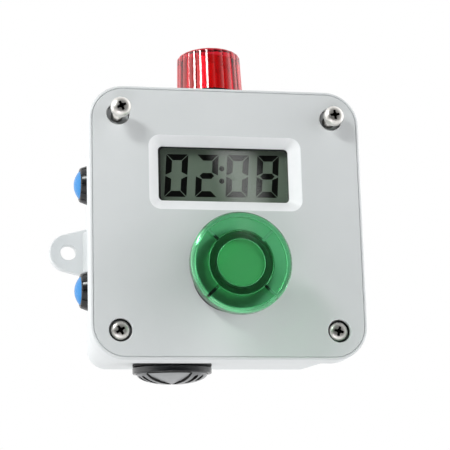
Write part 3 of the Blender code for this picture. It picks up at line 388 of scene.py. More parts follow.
def dyed(name, code, shade, clear, rough):
    """Dyed polycarbonate: glass for the eye, air of a given shade for the lamps' shadow rays."""
    sockets = {"Base Color": linear(code), "IOR": POLYCARBONATE_IOR, "Roughness": rough}
    look, tree, shader = start_look(name, {**sockets, "Transmission Weight": clear})
    air = add(tree, "ShaderNodeBsdfTransparent", {"Color": linear(shade)}).outputs[0]
    shadow = add(tree, "ShaderNodeLightPath").outputs["Is Shadow Ray"]
    both = add(tree, "ShaderNodeMixShader", {0: shadow, 1: shader.outputs[0], 2: air}).outputs[0]
    tree.links.new(both, tree.nodes["Material Output"].inputs["Surface"])
    return look


# Polished pane: almost invisible but for what it mirrors.
FINISHES["clear_polycarbonate"] = dyed("clear_polycarbonate_pane", "#F6FAF6", "#FAFCFA", 1.0, 0.008)
# Button lens: bright green where light comes back through it, nearly black where it doesn't.
FINISHES["green_polycarbonate"] = dyed("green_polycarbonate_lens", "#72D697", "#B0D0BA", 1.0, 0.14)
# The lens's roof is matt on its underside to spread the lamp's light: what lies behind looks soft.
FROSTED = dyed("frosted_green_polycarbonate", "#72D697", "#B0D0BA", 0.92, 0.34)
# Painted light: over the white diffuser the roof's dye is made paler, for the extra light that comes back
# through it.
FROSTED_PAINTED_LIGHT = dyed("frosted_polycarbonate_painted_light", "#ADD6B6", "#B0D0BA", 0.92, 0.34)
# Beacon lens: saturated red.
FINISHES["red_polycarbonate"] = dyed("red_polycarbonate_lens", "#D01E2E", "#F4636D", 1.0, 0.04)
print("clear plastics at IOR", POLYCARBONATE_IOR)

# %% [markdown]
# A liquid crystal panel is a glass sandwich with a grey film on its face and a dull reflector behind, so it
# looks like frosted pewter. The lit segments block the light and look black. Layers of clear glass and film
# could be traced, but one opaque finish looks the same and renders without noise.

# %% Display finishes
PANEL_GRAIN = 0.35  # mm, the reflector's sparkle, drawn coarser than it is so that it shows
FINISHES["lcd_glass"] = moulded(
    "polariser_on_glass", "#6C786D", "#646F64", 14.0, PANEL_GRAIN, 0.004, (0.25, 0.32)
)
dull = {"Specular IOR Level": 0.0}
SEGMENT = moulded("lit_segment", "#060706", "#030403", 5.0, PANEL_GRAIN, 0.002, (0.25, 0.32), dull)
print("display finishes", FINISHES["lcd_glass"].name, SEGMENT.name)

# %% [markdown]
# The timer board inside is glass-cloth laminate under green resist, with copper tracks showing through as
# paler bands. It is hidden behind the lid, so a wave texture draws the tracks instead of a mesh.

# %% Board laminate
look, tree, shader = start_look("glass_epoxy_laminate", {"Roughness": 0.4})
TRACK_PITCH, WAVE_BANDS = 2.5, 3  # mm, and the bands that a wave texture draws in one unit
spot = add(tree, "ShaderNodeTexCoord").outputs["Object"]
track = {"Vector": spot, "Scale": 1 / (TRACK_PITCH * MM) / WAVE_BANDS, "Distortion": 1.5}
track = add(tree, "ShaderNodeTexWave", track).outputs["Fac"]
resist = {0: track, 6: linear("#1E5C38"), 7: linear("#3B8556")}
resist = add(tree, "ShaderNodeMix", resist, data_type="RGBA").outputs[2]
tree.links.new(resist, shader.inputs["Base Color"])
FINISHES["board_laminate"] = look
print(sorted(FINISHES))

# %% [markdown]
# Moulded and turned parts are stacks of rings. One function makes a ring with round corners, one gives the
# points round an edge, and one stretches a skin over the stack; the ends are closed, or the last ring meets
# the first where the part has a bore. Bevelled boxes would be quicker to draw, but rings put every point
# where it is wanted.

# %% Stacks of rings
WELD = 0.0001 * MM  # points nearer than this are one point


def rounded(wide, high, corner, level, steps=14):
    """A ring of points round a rectangle with round corners."""
    ring = []
    for quarter, (x, y) in enumerate(((1, 1), (-1, 1), (-1, -1), (1, -1))):
        for step in range(steps + 1):
            angle = (quarter + step / steps) * QUARTER
            along, up = x * (wide / 2 - corner), y * (high / 2 - corner)
            ring.append((along + corner * math.cos(angle), up + corner * math.sin(angle), level))
    return ring


def arc(radius, level, size, first, last, steps):
    """Profile points round an edge: its middle at (radius, level), from one angle to another."""
    angles = [math.radians(first + (last - first) * i / steps) for i in range(steps + 1)]
    return [(radius + size * math.cos(a), level + size * math.sin(a)) for a in angles]


def skin(name, rings, loop=False):
    """A closed mesh over a stack of rings."""
    shape = bmesh.new()
    rows = [[shape.verts.new(point) for point in ring] for ring in rings]
    pairs = list(zip(rows, rows[1:]))
    if loop:
        pairs.append((rows[-1], rows[0]))
    else:
        shape.faces.new(rows[0])
        shape.faces.new(rows[-1])
    for low, high in pairs:
        for i in range(len(low)):
            j = (i + 1) % len(low)
            shape.faces.new((low[i], low[j], high[j], high[i]))
    bmesh.ops.remove_doubles(shape, verts=shape.verts, dist=WELD)
    bmesh.ops.recalc_face_normals(shape, faces=shape.faces)
    return to_mesh(name, shape)


print("points nearer than", round(WELD / MM, 5), "mm are one point")

# %% [markdown]
# The lid is a shallow tray: a flat face, a fine groove just inside its rounded edge, a skirt that laps over
# the box, and a pocket behind the middle. A bevelled cube would need cuts for groove and pocket; one stack
# of rounded squares makes it all, from face to pocket.

# %% Lid body
lid_low, lid_high = on_seat("lid", PANEL)
LID_HALF, LID_SKIRT = lid_high.x, lid_low.z
LID_CORNER = 14.0 * MM
LID_EDGE = 1.0 * MM
LID_LIP = 1.3 * MM
LID_RIM_BACK = -6.5 * MM
LID_PANEL_BACK = -5.0 * MM
POCKET_INSET, POCKET_CORNER = 6.0 * MM, 22.0 * MM
GROOVE_WIDE, GROOVE_DEEP = 0.5 * MM, 0.5 * MM
SKIRT_EDGE = 0.3 * MM


def square(inset, level, half=LID_HALF, corner=LID_CORNER):
    """A rounded square, drawn in from a half-width and its corner radius."""
    return rounded(2 * (half - inset), 2 * (half - inset), corner - inset, level)


rings = [square(LID_EDGE + GROOVE_WIDE, 0.0), square(LID_EDGE + GROOVE_WIDE / 2, -GROOVE_DEEP)]
rings += [square(LID_EDGE - out, level) for out, level in arc(0.0, -LID_EDGE, LID_EDGE, 90, 0, 5)]
rings += [
    square(0.0, LID_SKIRT + SKIRT_EDGE),
    square(SKIRT_EDGE, LID_SKIRT),
    square(LID_LIP, LID_SKIRT),
    square(LID_LIP, LID_RIM_BACK),
    square(0.0, LID_RIM_BACK, LID_HALF - POCKET_INSET, POCKET_CORNER),
    square(0.0, LID_PANEL_BACK, LID_HALF - POCKET_INSET, POCKET_CORNER),
]
lid_mesh = skin("lid_moulding", rings)
print("lid body", len(lid_mesh.polygons), "faces")

# %% [markdown]
# The round parts came off a lathe or out of a round mould. Their rings are circles, from a profile of radii
# and levels. A screw modifier could turn the profile too, but it can't change the radius on the way round,
# as threads, notches and flutes do.

# %% Turned parts
TURNED_SIDES = 72


def circle(radius, level, sides):
    """A ring of points round the seat's axis; radius may be a function of the angle."""
    ring = []
    for index in range(sides):
        angle = 2 * math.pi * index / sides
        reach = radius(angle) if callable(radius) else radius
        ring.append((reach * math.cos(angle), reach * math.sin(angle), level))
    return ring


def circles(profile, sides):
    """A stack of such rings from (radius, level) points."""
    return [circle(radius, level, sides) for radius, level in profile]


def turned(name, profile, sides=TURNED_SIDES, loop=False):
    """A mesh turned from (radius, level) points."""
    return skin(name, circles(profile, sides), loop)


def plug(radius, low, high):
    """The profile of a plain cylinder between two levels."""
    return [(0.0, low), (radius, low), (radius, high), (0.0, high)]


def shifted(ring, x, y=0.0):
    """A ring moved sideways."""
    return [(px + x, py + y, pz) for px, py, pz in ring]


def moved(mesh, x=0.0, y=0.0, turn=0.0):
    """The mesh, turned about its axis and shifted on its seat."""
    mesh.transform(Matrix.Translation((x, y, 0.0)) @ Matrix.Rotation(turn, 4, "Z"))
    return mesh


print("a turned part has", TURNED_SIDES, "sides, if no number is given")

# %% [markdown]
# Holes are cut with Booleans, as a drill or a core in the mould makes them, and weighted normals then keep
# the flat faces flat. A subdivided mesh would need extra edges round every hole to do the same.

# %% Carved pieces
CREASE = math.radians(32)


def carved(mesh, tools, operation="DIFFERENCE"):
    """The mesh after tools are cut out of it, or joined to it."""
    made = link("carved", mesh)
    helpers = [link(tool.name, tool) for tool in tools]
    for helper in helpers:
        step = made.modifiers.new(helper.name, "BOOLEAN")
        step.operation = operation
        step.object = helper
    graph = bpy.context.evaluated_depsgraph_get()
    result = bpy.data.meshes.new_from_object(made.evaluated_get(graph))
    result.name = mesh.name
    for item in (made, *helpers):
        bpy.data.objects.remove(item)
    return result


def piece(name, mesh, place, slot, body, *nodes, look=None, others=()):
    """Puts a mesh on its seat with one finish, and other finishes on the faces that pass their tests."""
    mesh.shade_smooth()
    mesh.set_sharp_from_angle(angle=CREASE)
    mesh.materials.clear()
    mesh.materials.append(look or FINISHES[slot])
    for index, (other, test) in enumerate(others, 1):
        mesh.materials.append(other)
        for face in mesh.polygons:
            if test(face):
                face.material_index = index
    mesh.transform(place)
    made = link(name, mesh)
    made.modifiers.new("even_flats", "WEIGHTED_NORMAL").keep_sharp = True
    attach(made, body)
    if nodes:
        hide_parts(*nodes)
    print(name, len(mesh.polygons), "faces on", body)


print("edges under", round(math.degrees(CREASE)), "degrees look smooth")

# %% [markdown]
# The window is milled: an opening with a slope at about 45 degrees all round. The cutter for it is another
# stack of rounded rectangles. Its last rings flare out, so the slope meets the face in a small round
# instead of a knife edge. The screw pockets flare the same way.

# %% Lid openings
WINDOW_WIDE, WINDOW_HIGH, WINDOW_CORNER = 54.0 * MM, 22.7 * MM, 1.8 * MM
WINDOW_AT = Vector((-0.55 * MM, DISPLAY.translation.z + 0.15 * MM))
SLOPE_DEEP, SLOPE_CORNER = 4.5 * MM, 4.8 * MM
SLOPE_FLAT, SLOPE_DROP = 0.93, 0.1  # its top and bottom are a little steeper, and its outline sits lower
SOFT_EDGE = 0.35 * MM
OVERCUT = 1.0 * MM
SCREW_AT = abs(middle("lid_screw_top_left").x)
SCREW_SPOTS = [(x, y) for x in (-SCREW_AT, SCREW_AT) for y in (-SCREW_AT, SCREW_AT)]
# POCKET_SHADE_TOP is the level up to which a pocket's wall carries painted shade.
POCKET, POCKET_DEEP, POCKET_SHADE_TOP = 4.65 * MM, 4.5 * MM, -1.9 * MM
SHANK_HOLE = 2.4 * MM
START_HOLE = 11.3 * MM
NEAR = 0.1 * MM  # faces nearer than this to a level or a radius belong to it


def window_ring(out, corner, level):
    """A ring of the window's cutter, wider than the opening by out at each side."""
    ring = rounded(WINDOW_WIDE + 2 * out, WINDOW_HIGH + 2 * SLOPE_FLAT * out, corner, level)
    return shifted(ring, WINDOW_AT.x, WINDOW_AT.y - SLOPE_DROP * out)


rings = [window_ring(0.0, WINDOW_CORNER, level) for level in (LID_RIM_BACK, -SLOPE_DEEP)]
flare = ((-1.0, -SOFT_EDGE), (-0.2, -0.35 * SOFT_EDGE), (1.0, 0.0), (2.0, OVERCUT))  # soft edges out, level
for soft_edges, level in flare:
    out = soft_edges * SOFT_EDGE
    rings.append(window_ring(SLOPE_DEEP + out, SLOPE_CORNER + out, level))
window = skin("window_cutter", rings)
pocket = [(0.0, -POCKET_DEEP), (POCKET, -POCKET_DEEP), (POCKET, POCKET_SHADE_TOP)]
pocket += arc(POCKET + SOFT_EDGE, -SOFT_EDGE, SOFT_EDGE, 180, 95, 4)
pocket += [(POCKET + 2 * SOFT_EDGE, OVERCUT), (0.0, OVERCUT)]
hole = plug(SHANK_HOLE, LID_RIM_BACK - OVERCUT, 0.0)
barrel = plug(START_HOLE, LID_RIM_BACK, OVERCUT)
tools = [window, moved(turned("start_cutter", barrel), y=START.translation.z)]
for spot in SCREW_SPOTS:
    tools += [moved(turned("pocket_cutter", pocket), *spot), moved(turned("hole_cutter", hole), *spot)]
lid_mesh = carved(lid_mesh, tools)


def is_milled(face):
    """Whether a face of the lid belongs to the window's slope, which is neither flat nor upright."""
    near = abs(face.center.y - DISPLAY.translation.z) < WINDOW_HIGH and abs(face.center.x) < WINDOW_WIDE
    return near and 0.4 < face.normal.z < 0.9 and face.center.z > -SLOPE_DEEP


def in_painted_pocket_shade(face):
    """Whether a face of the lid is in the lower wall of a screw pocket, which is coloured as painted shade.
    """
    out = math.hypot(abs(face.center.x) - SCREW_AT, abs(face.center.y) - SCREW_AT)
    return abs(out - POCKET) < NEAR and -POCKET_DEEP < face.center.z < POCKET_SHADE_TOP


# The lower walls of the screw pockets get painted shade.
finishes = [(MILLED_PAINTED_LIGHT, is_milled), (POCKET_PAINTED_SHADE, in_painted_pocket_shade)]
# The window's slope gets a paler finish that is partly painted light.
piece("lid_moulding", lid_mesh, PANEL, "grey_pvc", "case", "lid", others=finishes)

# %% [markdown]
# The back box draws in towards the wall, so that it could leave its mould. Its corner radius shrinks on the
# way. A solidify modifier could thicken a shell, but it would not round the rim. The stack of rings starts
# at the floor inside and goes over the rim: floor, inner wall, rim, outer wall, then the rounded back edge.

# %% Back box
box_low, box_high = on_seat("back_box", PANEL)
BOX_FRONT, BOX_BACK = box_high.z, box_low.z
BOX_HALF = box_high.y
BOX_CORNER, BOX_BACK_CORNER = 12.4 * MM, 8.0 * MM
BOX_WALL, BOX_EDGE, BOX_RIM_EDGE = 4.0 * MM, 1.5 * MM, 0.3 * MM
POST_REACH = 6.2 * MM  # from a screw's axis to the inner face of its post
POST_INSIDE = SCREW_AT - POST_REACH
POST_OVERLAP, POST_CORNER, POST_HOLE_DEEP = 0.9 * MM, 2.5 * MM, 34.0 * MM


def share(level):
    """How far back a level lies, from 0 at the rim to 1 at the wall."""
    return (BOX_FRONT - level) / (BOX_FRONT - BOX_BACK)


def box_half(level):
    """Half the box's outer width at a level."""
    return BOX_HALF - BOX_DRAFT * share(level)


def box_ring(inset, level):
    """A ring of the box, drawn in from its outside."""
    corner = BOX_CORNER + (BOX_BACK_CORNER - BOX_CORNER) * share(level)
    return square(inset, level, box_half(level), corner)


floor_level = BOX_BACK + BOX_WALL
stack = [(BOX_WALL, floor_level), (BOX_WALL, BOX_FRONT)]
stack += [(BOX_RIM_EDGE, BOX_FRONT), (0.0, BOX_FRONT - BOX_RIM_EDGE)]
stack += [(BOX_EDGE - out, level) for out, level in arc(0.0, BOX_BACK + BOX_EDGE, BOX_EDGE, 0, -90, 6)]
rings = [box_ring(inset, level) for inset, level in stack]
box_mesh = skin("box_moulding", rings)
posts = []
for x in (-1, 1):
    for y in (-1, 1):
        ends = []
        for level in (floor_level - POST_OVERLAP, BOX_FRONT - GAP):
            outer = box_half(level) - BOX_WALL + POST_OVERLAP
            wide, centre = outer - POST_INSIDE, (outer + POST_INSIDE) / 2
            ends.append(shifted(rounded(wide, wide, POST_CORNER, level, 4), x * centre, y * centre))
        posts.append(skin("post", ends))
print("box body", len(box_mesh.polygons), "faces and", len(posts), "posts")

# %% [markdown]
# Each mounting ear is a flat tab with a round tip about its hole and straight flanks to a wider root, and a
# web thickens it against the side. The outline is drawn once and stacked, a little smaller at the two
# faces, which softens the edges without a bevel.

# %% Mounting ears
EAR_HOLE, EAR_TIP, EAR_ROOT_HALF = 3.4 * MM, 8.1 * MM, 11.0 * MM
EAR_HOLE_OUT = box_high.x - EAR_TIP
EAR_THICK, EAR_EDGE, EAR_BEVEL = 4.5 * MM, 0.4 * MM, 0.2 * MM
WEB_LONG, WEB_PROUD, WEB_HALF, WEB_EDGE = 16.0 * MM, 2.2 * MM, 8.0 * MM, 0.8 * MM


def ear_ring(inset, level, side):
    """The outline of an ear, drawn in by inset."""
    root, tip, half = box_half(BOX_BACK) - BOX_WALL / 2, EAR_TIP - inset, EAR_ROOT_HALF - inset
    reach = math.hypot(EAR_HOLE_OUT - root, half)
    flank = math.atan2(half, EAR_HOLE_OUT - root) + math.acos(tip / reach)
    swing, steps = math.pi - flank, 36
    angles = [swing * (2 * i / steps - 1) for i in range(steps + 1)]
    ring = [(EAR_HOLE_OUT + tip * math.cos(a), tip * math.sin(a), level) for a in angles]
    ring += [(root, half, level), (root, -half, level)]
    return [(side * x, side * y, z) for x, y, z in ring]


def web_ring(level, foot, half, side):
    """A ring of the web between an ear and the box's side."""
    return shifted(rounded(foot, 2 * half, WEB_EDGE, level, 4), side * (box_half(BOX_BACK) - BOX_WALL / 2))


ear_top = BOX_BACK + EAR_THICK
web_low = BOX_BACK + EAR_THICK / 2
web_foot = 2 * (box_half(web_low) + WEB_PROUD - box_half(BOX_BACK) + BOX_WALL / 2)
joins, cuts = list(posts), []
for side in (-1, 1):
    stack = [(EAR_EDGE, BOX_BACK), (0.0, BOX_BACK + EAR_EDGE)]
    stack += [(0.0, ear_top - EAR_EDGE), (EAR_EDGE, ear_top)]
    joins.append(skin("ear", [ear_ring(inset, level, side) for inset, level in stack]))
    web = [web_ring(web_low, web_foot, WEB_HALF + WEB_PROUD / 2, side)]
    web.append(web_ring(web_low + WEB_LONG, BOX_WALL / 2, WEB_HALF, side))
    joins.append(skin("web", web))
    bore = [(0.0, BOX_BACK - OVERCUT), (EAR_HOLE + OVERCUT + EAR_BEVEL, BOX_BACK - OVERCUT)]
    bore += [(EAR_HOLE, BOX_BACK + EAR_BEVEL), (EAR_HOLE, ear_top - EAR_BEVEL)]
    bore += [(EAR_HOLE + OVERCUT + EAR_BEVEL, ear_top + OVERCUT), (0.0, ear_top + OVERCUT)]
    cuts.append(moved(turned("ear_bore", bore), side * EAR_HOLE_OUT))
print("ear holes at", round(EAR_HOLE_OUT / MM, 2), "mm")

# %% [markdown]
# Buttons, beacon and sounder go through holes in the drafted walls. Beacon and sounder lean with their
# walls. The buttons don't, so each has a flat spot to seat on. Every hole is drawn on its own seat and then
# brought into the panel's frame.

# %% Holes in the box
SIDE_HOLE, SIDE_SPOT, BEACON_HOLE, SOUNDER_HOLE = 6.2 * MM, 8.7 * MM, 8.0 * MM, 13.8 * MM
cutters = [(place, SIDE_HOLE, SIDE_SPOT) for place in SIDES.values()]
cutters += [(BEACON, BEACON_HOLE, BEACON_HOLE), (SOUNDER, SOUNDER_HOLE, SOUNDER_HOLE)]
for place, hole_radius, spot_radius in cutters:
    drill = [(0.0, -2 * BOX_WALL), (hole_radius, -2 * BOX_WALL), (hole_radius, 0.0)]
    drill += [(spot_radius, 0.0), (spot_radius, BOX_WALL), (0.0, BOX_WALL)]
    tool = turned("drill", drill)
    tool.transform(PANEL.inverted() @ place)
    cuts.append(tool)
shank = plug(SHANK_HOLE, -POST_HOLE_DEEP, 0.0)
cuts += [moved(turned("post_hole", shank), *spot) for spot in SCREW_SPOTS]
box_mesh = carved(carved(box_mesh, joins, "UNION"), cuts)
piece("box_moulding", box_mesh, PANEL, "grey_pvc", "case", "back_box")

# %% [markdown]
# The lid screws are pan heads with a cross recess. The thread is a real helix: each ring of the shank has a
# radius that rises and falls once a turn, shifted a little further at every level. A bump could draw it on
# a plain shank, but two screws stand out of the lid, and their outline shows.

# %% Screw shape
SCREW_HIGH, HEAD = 3.5 * MM, 4.1 * MM
CROWN = ((0.0, 3.5), (1.4, 3.46), (2.5, 3.28), (3.3, 2.92), (3.8, 2.4), (4.05, 1.75))  # mm: radius, level
HEAD_SIDE = 1.1 * MM  # level at which the crown becomes the upright side
EDGE_HIGH, EDGE_IN = 0.3 * MM, 0.2 * MM  # bevel round the underside of the head
SCREW_LONG, SCREW_SHANK, SCREW_SIDES = 22.0 * MM, 2.1 * MM, 48
NECK, NECK_ROUND, NECK_LONG = 1.85 * MM, 0.25 * MM, 0.8 * MM
THREAD_PITCH, THREAD_DEEP, THREAD_FROM, THREAD_STEPS = 0.8 * MM, 0.38 * MM, 1.0 * MM, 8
FLANK_STEEP, CREST_SHARE = 2.6, 0.15
TIP_ROOT, TIP, TIP_LONG = 1.5 * MM, 1.1 * MM, 0.4 * MM
RECESS = ((2.15, 0.55, 4.0), (1.7, 0.45, 2.6), (0.8, 0.3, 1.1))  # mm: an arm's reach, its half width, level
RECESS_CONE = ((0.0, 4.0), (1.1, 4.0), (0.85, 2.6), (0.3, 0.9), (0.0, 0.9))  # mm: radius, level
SCREW_TURNS = {"top_left": 25, "top_right": 8, "bottom_left": 32, "bottom_right": -14}  # degrees


def thread(level):
    """The shank's radius at a level, as a function of the angle round it."""
    def reach(angle):
        turn = (level / THREAD_PITCH + angle / (2 * math.pi)) % 1.0
        return SCREW_SHANK - THREAD_DEEP * min(1.0, max(0.0, FLANK_STEEP * abs(turn - 0.5) - CREST_SHARE))
    return reach


def cross(reach, half, level):
    """A ring of the recess: a cross with four arms."""
    ring = []
    for quarter in range(4):
        c, s = round(math.cos(quarter * QUARTER)), round(math.sin(quarter * QUARTER))
        for x, y in ((half, -half), (reach, -half), (reach, half)):
            ring.append((c * x - s * y, s * x + c * y, level))
    return ring


def pan_screw(name):
    """One screw, from the crown of its head to its tip."""
    profile = [(radius * MM, level * MM) for radius, level in CROWN]
    profile += [(HEAD, HEAD_SIDE), (HEAD, EDGE_HIGH), (HEAD - EDGE_IN, 0.0), (SCREW_SHANK, 0.0)]
    profile += [(NECK, -NECK_ROUND), (NECK, -NECK_LONG)]
    rise = THREAD_PITCH / THREAD_STEPS
    levels = [-THREAD_FROM - rise * row for row in range(int((SCREW_LONG - 2 * THREAD_FROM) / rise))]
    profile += [(thread(level), level) for level in levels]
    profile += [(TIP_ROOT, TIP_LONG - SCREW_LONG), (TIP, -SCREW_LONG)]
    recess = [cross(*(size * MM for size in ring)) for ring in RECESS]
    cone = turned("recess_cone", [(radius * MM, level * MM) for radius, level in RECESS_CONE], sides=24)
    rings = circles(profile, SCREW_SIDES)
    mesh = carved(skin(name, rings), [skin("recess_cross", recess), cone])
    return moved(mesh, turn=math.radians(SCREW_TURNS[name]))


print("thread of", round(THREAD_PITCH / MM, 2), "mm pitch on a shank", round(SCREW_LONG / MM), "mm long")

# %% [markdown]
# The faces inside the recess get a dark finish of their own, as painted shade, because a shadow alone would
# not be dark enough. The two top screws are backed out, and how far each stands out is read from the CAD
# model.

# %% Lid screws
RECESS_TOP = 3.3 * MM


def off_axis(face):
    """How far the middle of a face lies from the seat's axis."""
    return math.hypot(face.center.x, face.center.y)


def is_recess(face):
    """Whether a face of a screw lies inside its recess."""
    return off_axis(face) < SCREW_SHANK and 0.0 < face.center.z < RECESS_TOP


# The faces inside each recess get painted shade.
recessed = [(RECESS_PAINTED_SHADE, is_recess)]
for name in SCREW_TURNS:
    spot = middle("lid_screw_" + name)
    top = on_seat("lid_screw_" + name, PANEL)[1].z
    place = PANEL @ Matrix.Translation((spot.x, spot.z, top - SCREW_HIGH))
    body, node = "screw_" + name, "lid_screw_" + name
    piece("pan_screw_" + name, pan_screw(name), place, "zinc_plated_steel", body, node, others=recessed)

# %% [markdown]
# The panel behind the window is a sandwich: a film on its face, two sheets of glass and a seal line between
# them. A plain plate would do from the front, but one stack of rings gives the layers as well.

# %% Display panel
cell_low, cell_high = on_seat("lcd_panel", DISPLAY)
CELL_WIDE, CELL_HIGH = cell_high.x * 2, cell_high.y * 2
FILM_INSET, FILM_THICK, CELL_CORNER = 0.7 * MM, 0.2 * MM, 0.5 * MM
SEAL_INSET, SEAL_BEVEL = 0.4 * MM, 0.05 * MM
FRONT_GLASS, BACK_GLASS = cell_high.z - 1.3 * MM, cell_low.z + 1.15 * MM  # inner faces of the two sheets
stack = [(FILM_INSET, cell_high.z), (FILM_INSET, cell_high.z - FILM_THICK), (0.0, cell_high.z - FILM_THICK)]
stack += [(0.0, FRONT_GLASS), (SEAL_INSET, FRONT_GLASS - SEAL_BEVEL)]
stack += [(SEAL_INSET, BACK_GLASS + SEAL_BEVEL), (0.0, BACK_GLASS), (0.0, cell_low.z)]
rings = []
for inset, level in stack:
    rings.append(rounded(CELL_WIDE - 2 * inset, CELL_HIGH - 2 * inset, CELL_CORNER, level, 3))
piece("crystal_panel", skin("crystal_panel", rings), DISPLAY, "lcd_glass", "case", "lcd_panel")

# %% [markdown]
# The figures are seven-segment shapes with mitred ends, leaning a little, in a thin layer on the film. A
# font could draw them, but a table of outlines gives the mitres and the lean of real segments.

# %% Display figures
READING = "0208"
DIGIT_WIDE, DIGIT_HIGH, BAR, MITRE = 9.1 * MM, 17.9 * MM, 2.5 * MM, 0.24 * MM
DIGIT_PITCH, FIRST_DIGIT = 12.65 * MM, -24.95 * MM
DIGIT_UP = 0.3 * MM  # middle of the figures over the window's middle
LEAN = math.tan(math.radians(4.5))
PANEL_TILT = math.radians(0.6)  # the panel sits slightly askew in its frame
INK_THICK = 0.05 * MM
DOT, DOTS = 1.1 * MM, ((-0.75 * MM, 3.4 * MM), (-0.95 * MM, -1.85 * MM))
W, H, B, M = DIGIT_WIDE, DIGIT_HIGH / 2, BAR, MITRE  # short names for the outlines below
BARS = {
    "a": [(M, H), (W - M, H), (W - B - M, H - B), (B + M, H - B)],
    "b": [(W, H - M), (W, M), (W - B, B / 2 + M), (W - B, H - B - M)],
    "c": [(W, -M), (W, M - H), (W - B, B + M - H), (W - B, -B / 2 - M)],
    "d": [(B + M, B - H), (W - B - M, B - H), (W - M, -H), (M, -H)],
    "e": [(0, -M), (B, -B / 2 - M), (B, B + M - H), (0, M - H)],
    "f": [(0, H - M), (B, H - B - M), (B, B / 2 + M), (0, M)],
    "g": [(B / 2 + M, 0), (B + M, B / 2), (W - B - M, B / 2), (W - B / 2 - M, 0),
          (W - B - M, -B / 2), (B + M, -B / 2)],
}
LIT = {"0": "abcdef", "2": "abged", "8": "abcdefg"}
shape = bmesh.new()


def ink(outline):
    """A thin plate of a given outline on the film."""
    rows = []
    for level in (cell_high.z, cell_high.z + INK_THICK):
        tilted = [Matrix.Rotation(PANEL_TILT, 2) @ Vector(point) for point in outline]
        rows.append([shape.verts.new((x, y, level)) for x, y in tilted])
    shape.faces.new(rows[0])
    shape.faces.new(rows[1])
    for i in range(len(outline)):
        j = (i + 1) % len(outline)
        shape.faces.new((rows[0][i], rows[0][j], rows[1][j], rows[1][i]))


for index, figure in enumerate(READING):
    for bar in LIT[figure]:
        left = FIRST_DIGIT + index * DIGIT_PITCH
        ink([(left + x + (y + H) * LEAN, y + DIGIT_UP) for x, y in BARS[bar]])
for x, y in DOTS:
    ink([(x + px, y + py) for px, py, pz in circle(DOT, 0.0, sides=28)])
bmesh.ops.recalc_face_normals(shape, faces=shape.faces)
mesh = to_mesh("crystal_figures", shape)
piece("crystal_figures", mesh, DISPLAY, "lcd_glass", "case", look=SEGMENT)

# %% [markdown]
# A lamp up to the right shows as a slanting band in the pane, over the third figure. It is a card that only
# reflections can see. Its place is found as in a mirror: go on from the camera's line after it bounces. A
# band painted on the pane would look right from one side only.

# %% Band in the pane
BAND_AT = Vector((6.5 * MM, -59.7 * MM, middle("lcd_panel").z))
BAND_AWAY, BAND_WIDE, BAND_HIGH = 0.6, 0.044, 0.06  # m
BAND_EDGE, BAND_CORE = 0.5, 0.1  # shares of its width: half of it, and the fully lit part of that half
BAND_SHINE, BAND_LEAN = 1.35, math.radians(-14)
ray_in = (BAND_AT - camera.location).normalized()
ray_out = Vector((ray_in.x, -ray_in.y, ray_in.z))
shape = bmesh.new()
bmesh.ops.create_grid(shape, x_segments=1, y_segments=1, size=BAND_EDGE)
card = link("band_card", to_mesh("band_card", shape))
card.location = BAND_AT + ray_out * BAND_AWAY
card.rotation_mode = "QUATERNION"
card.rotation_quaternion = (-ray_out).to_track_quat("Z", "Y") @ Quaternion((0, 0, 1), BAND_LEAN)
card.scale = (BAND_WIDE, BAND_HIGH, 1.0)
glow = bpy.data.materials.new("band_glow")
glow.use_nodes = True
tree = glow.node_tree
tree.nodes.clear()
across = add(tree, "ShaderNodeTexCoord").outputs["Object"]
across = add(tree, "ShaderNodeSeparateXYZ", {"Vector": across}).outputs["X"]
across = add(tree, "ShaderNodeMath", {0: across}, operation="ABSOLUTE").outputs[0]
fade = {"Value": across, "From Min": BAND_EDGE, "From Max": BAND_CORE, "To Min": 0.0, "To Max": BAND_SHINE}
fade = add(tree, "ShaderNodeMapRange", fade, interpolation_type="SMOOTHSTEP").outputs[0]
light = add(tree, "ShaderNodeEmission", {"Strength": fade}).outputs[0]
nothing = add(tree, "ShaderNodeBsdfTransparent").outputs[0]
only = add(tree, "ShaderNodeLightPath").outputs["Is Glossy Ray"]
both = add(tree, "ShaderNodeMixShader", {0: only, 1: nothing, 2: light}).outputs[0]
add(tree, "ShaderNodeOutputMaterial", {"Surface": both})
card.data.materials.append(glow)
print("band card at", [round(value, 3) for value in card.location])

# %% [markdown]
# The mushroom button is a clear green cup turned over: a slightly domed face, a skirt, and an inner tube
# that stands on the stem. Looking in, the tube's wall reads as a dark ring, because the eye follows it down
# to the black stem, and the space round it is bright, because light comes back from the lid. A painted ring
# could stand for that, but clear plastic with real walls looks right from every side.

# %% Start lens
cap_low, cap_high = on_seat("start_cap", START)
CAP = cap_high.x
CAP_FACE, CAP_SKIRT_LOW, CAP_TUBE_LOW = 24.8 * MM, 19.8 * MM, cap_low.z
CAP_EDGE, CAP_WALL, CAP_ROOF = 1.6 * MM, 1.8 * MM, 22.2 * MM
CAP_TUBE, CAP_BORE = 12.5 * MM, 9.5 * MM
CAP_LIP, CAP_BEVEL, CAP_FILLET, TUBE_FILLET = 0.3 * MM, 0.2 * MM, 0.6 * MM, 0.5 * MM
CAP_RIB, CAP_RIBS, RIB_EDGE, RIB_OVERLAP = 1.2 * MM, 4, 0.2 * MM, 1.0 * MM
CAP_SIDES, FACE_STEPS = 128, 8
inside = CAP - CAP_WALL
rise = cap_high.z - CAP_FACE
edge_in = CAP - CAP_EDGE
profile = []
for step in range(FACE_STEPS + 1):
    out = edge_in * step / FACE_STEPS
    profile.append((out, CAP_FACE + rise * (1 - (out / edge_in) ** 2)))
profile += arc(edge_in, CAP_FACE - CAP_EDGE, CAP_EDGE, 85, 0, 6)
profile += arc(CAP - CAP_LIP, CAP_SKIRT_LOW + CAP_LIP, CAP_LIP, 0, -90, 3)
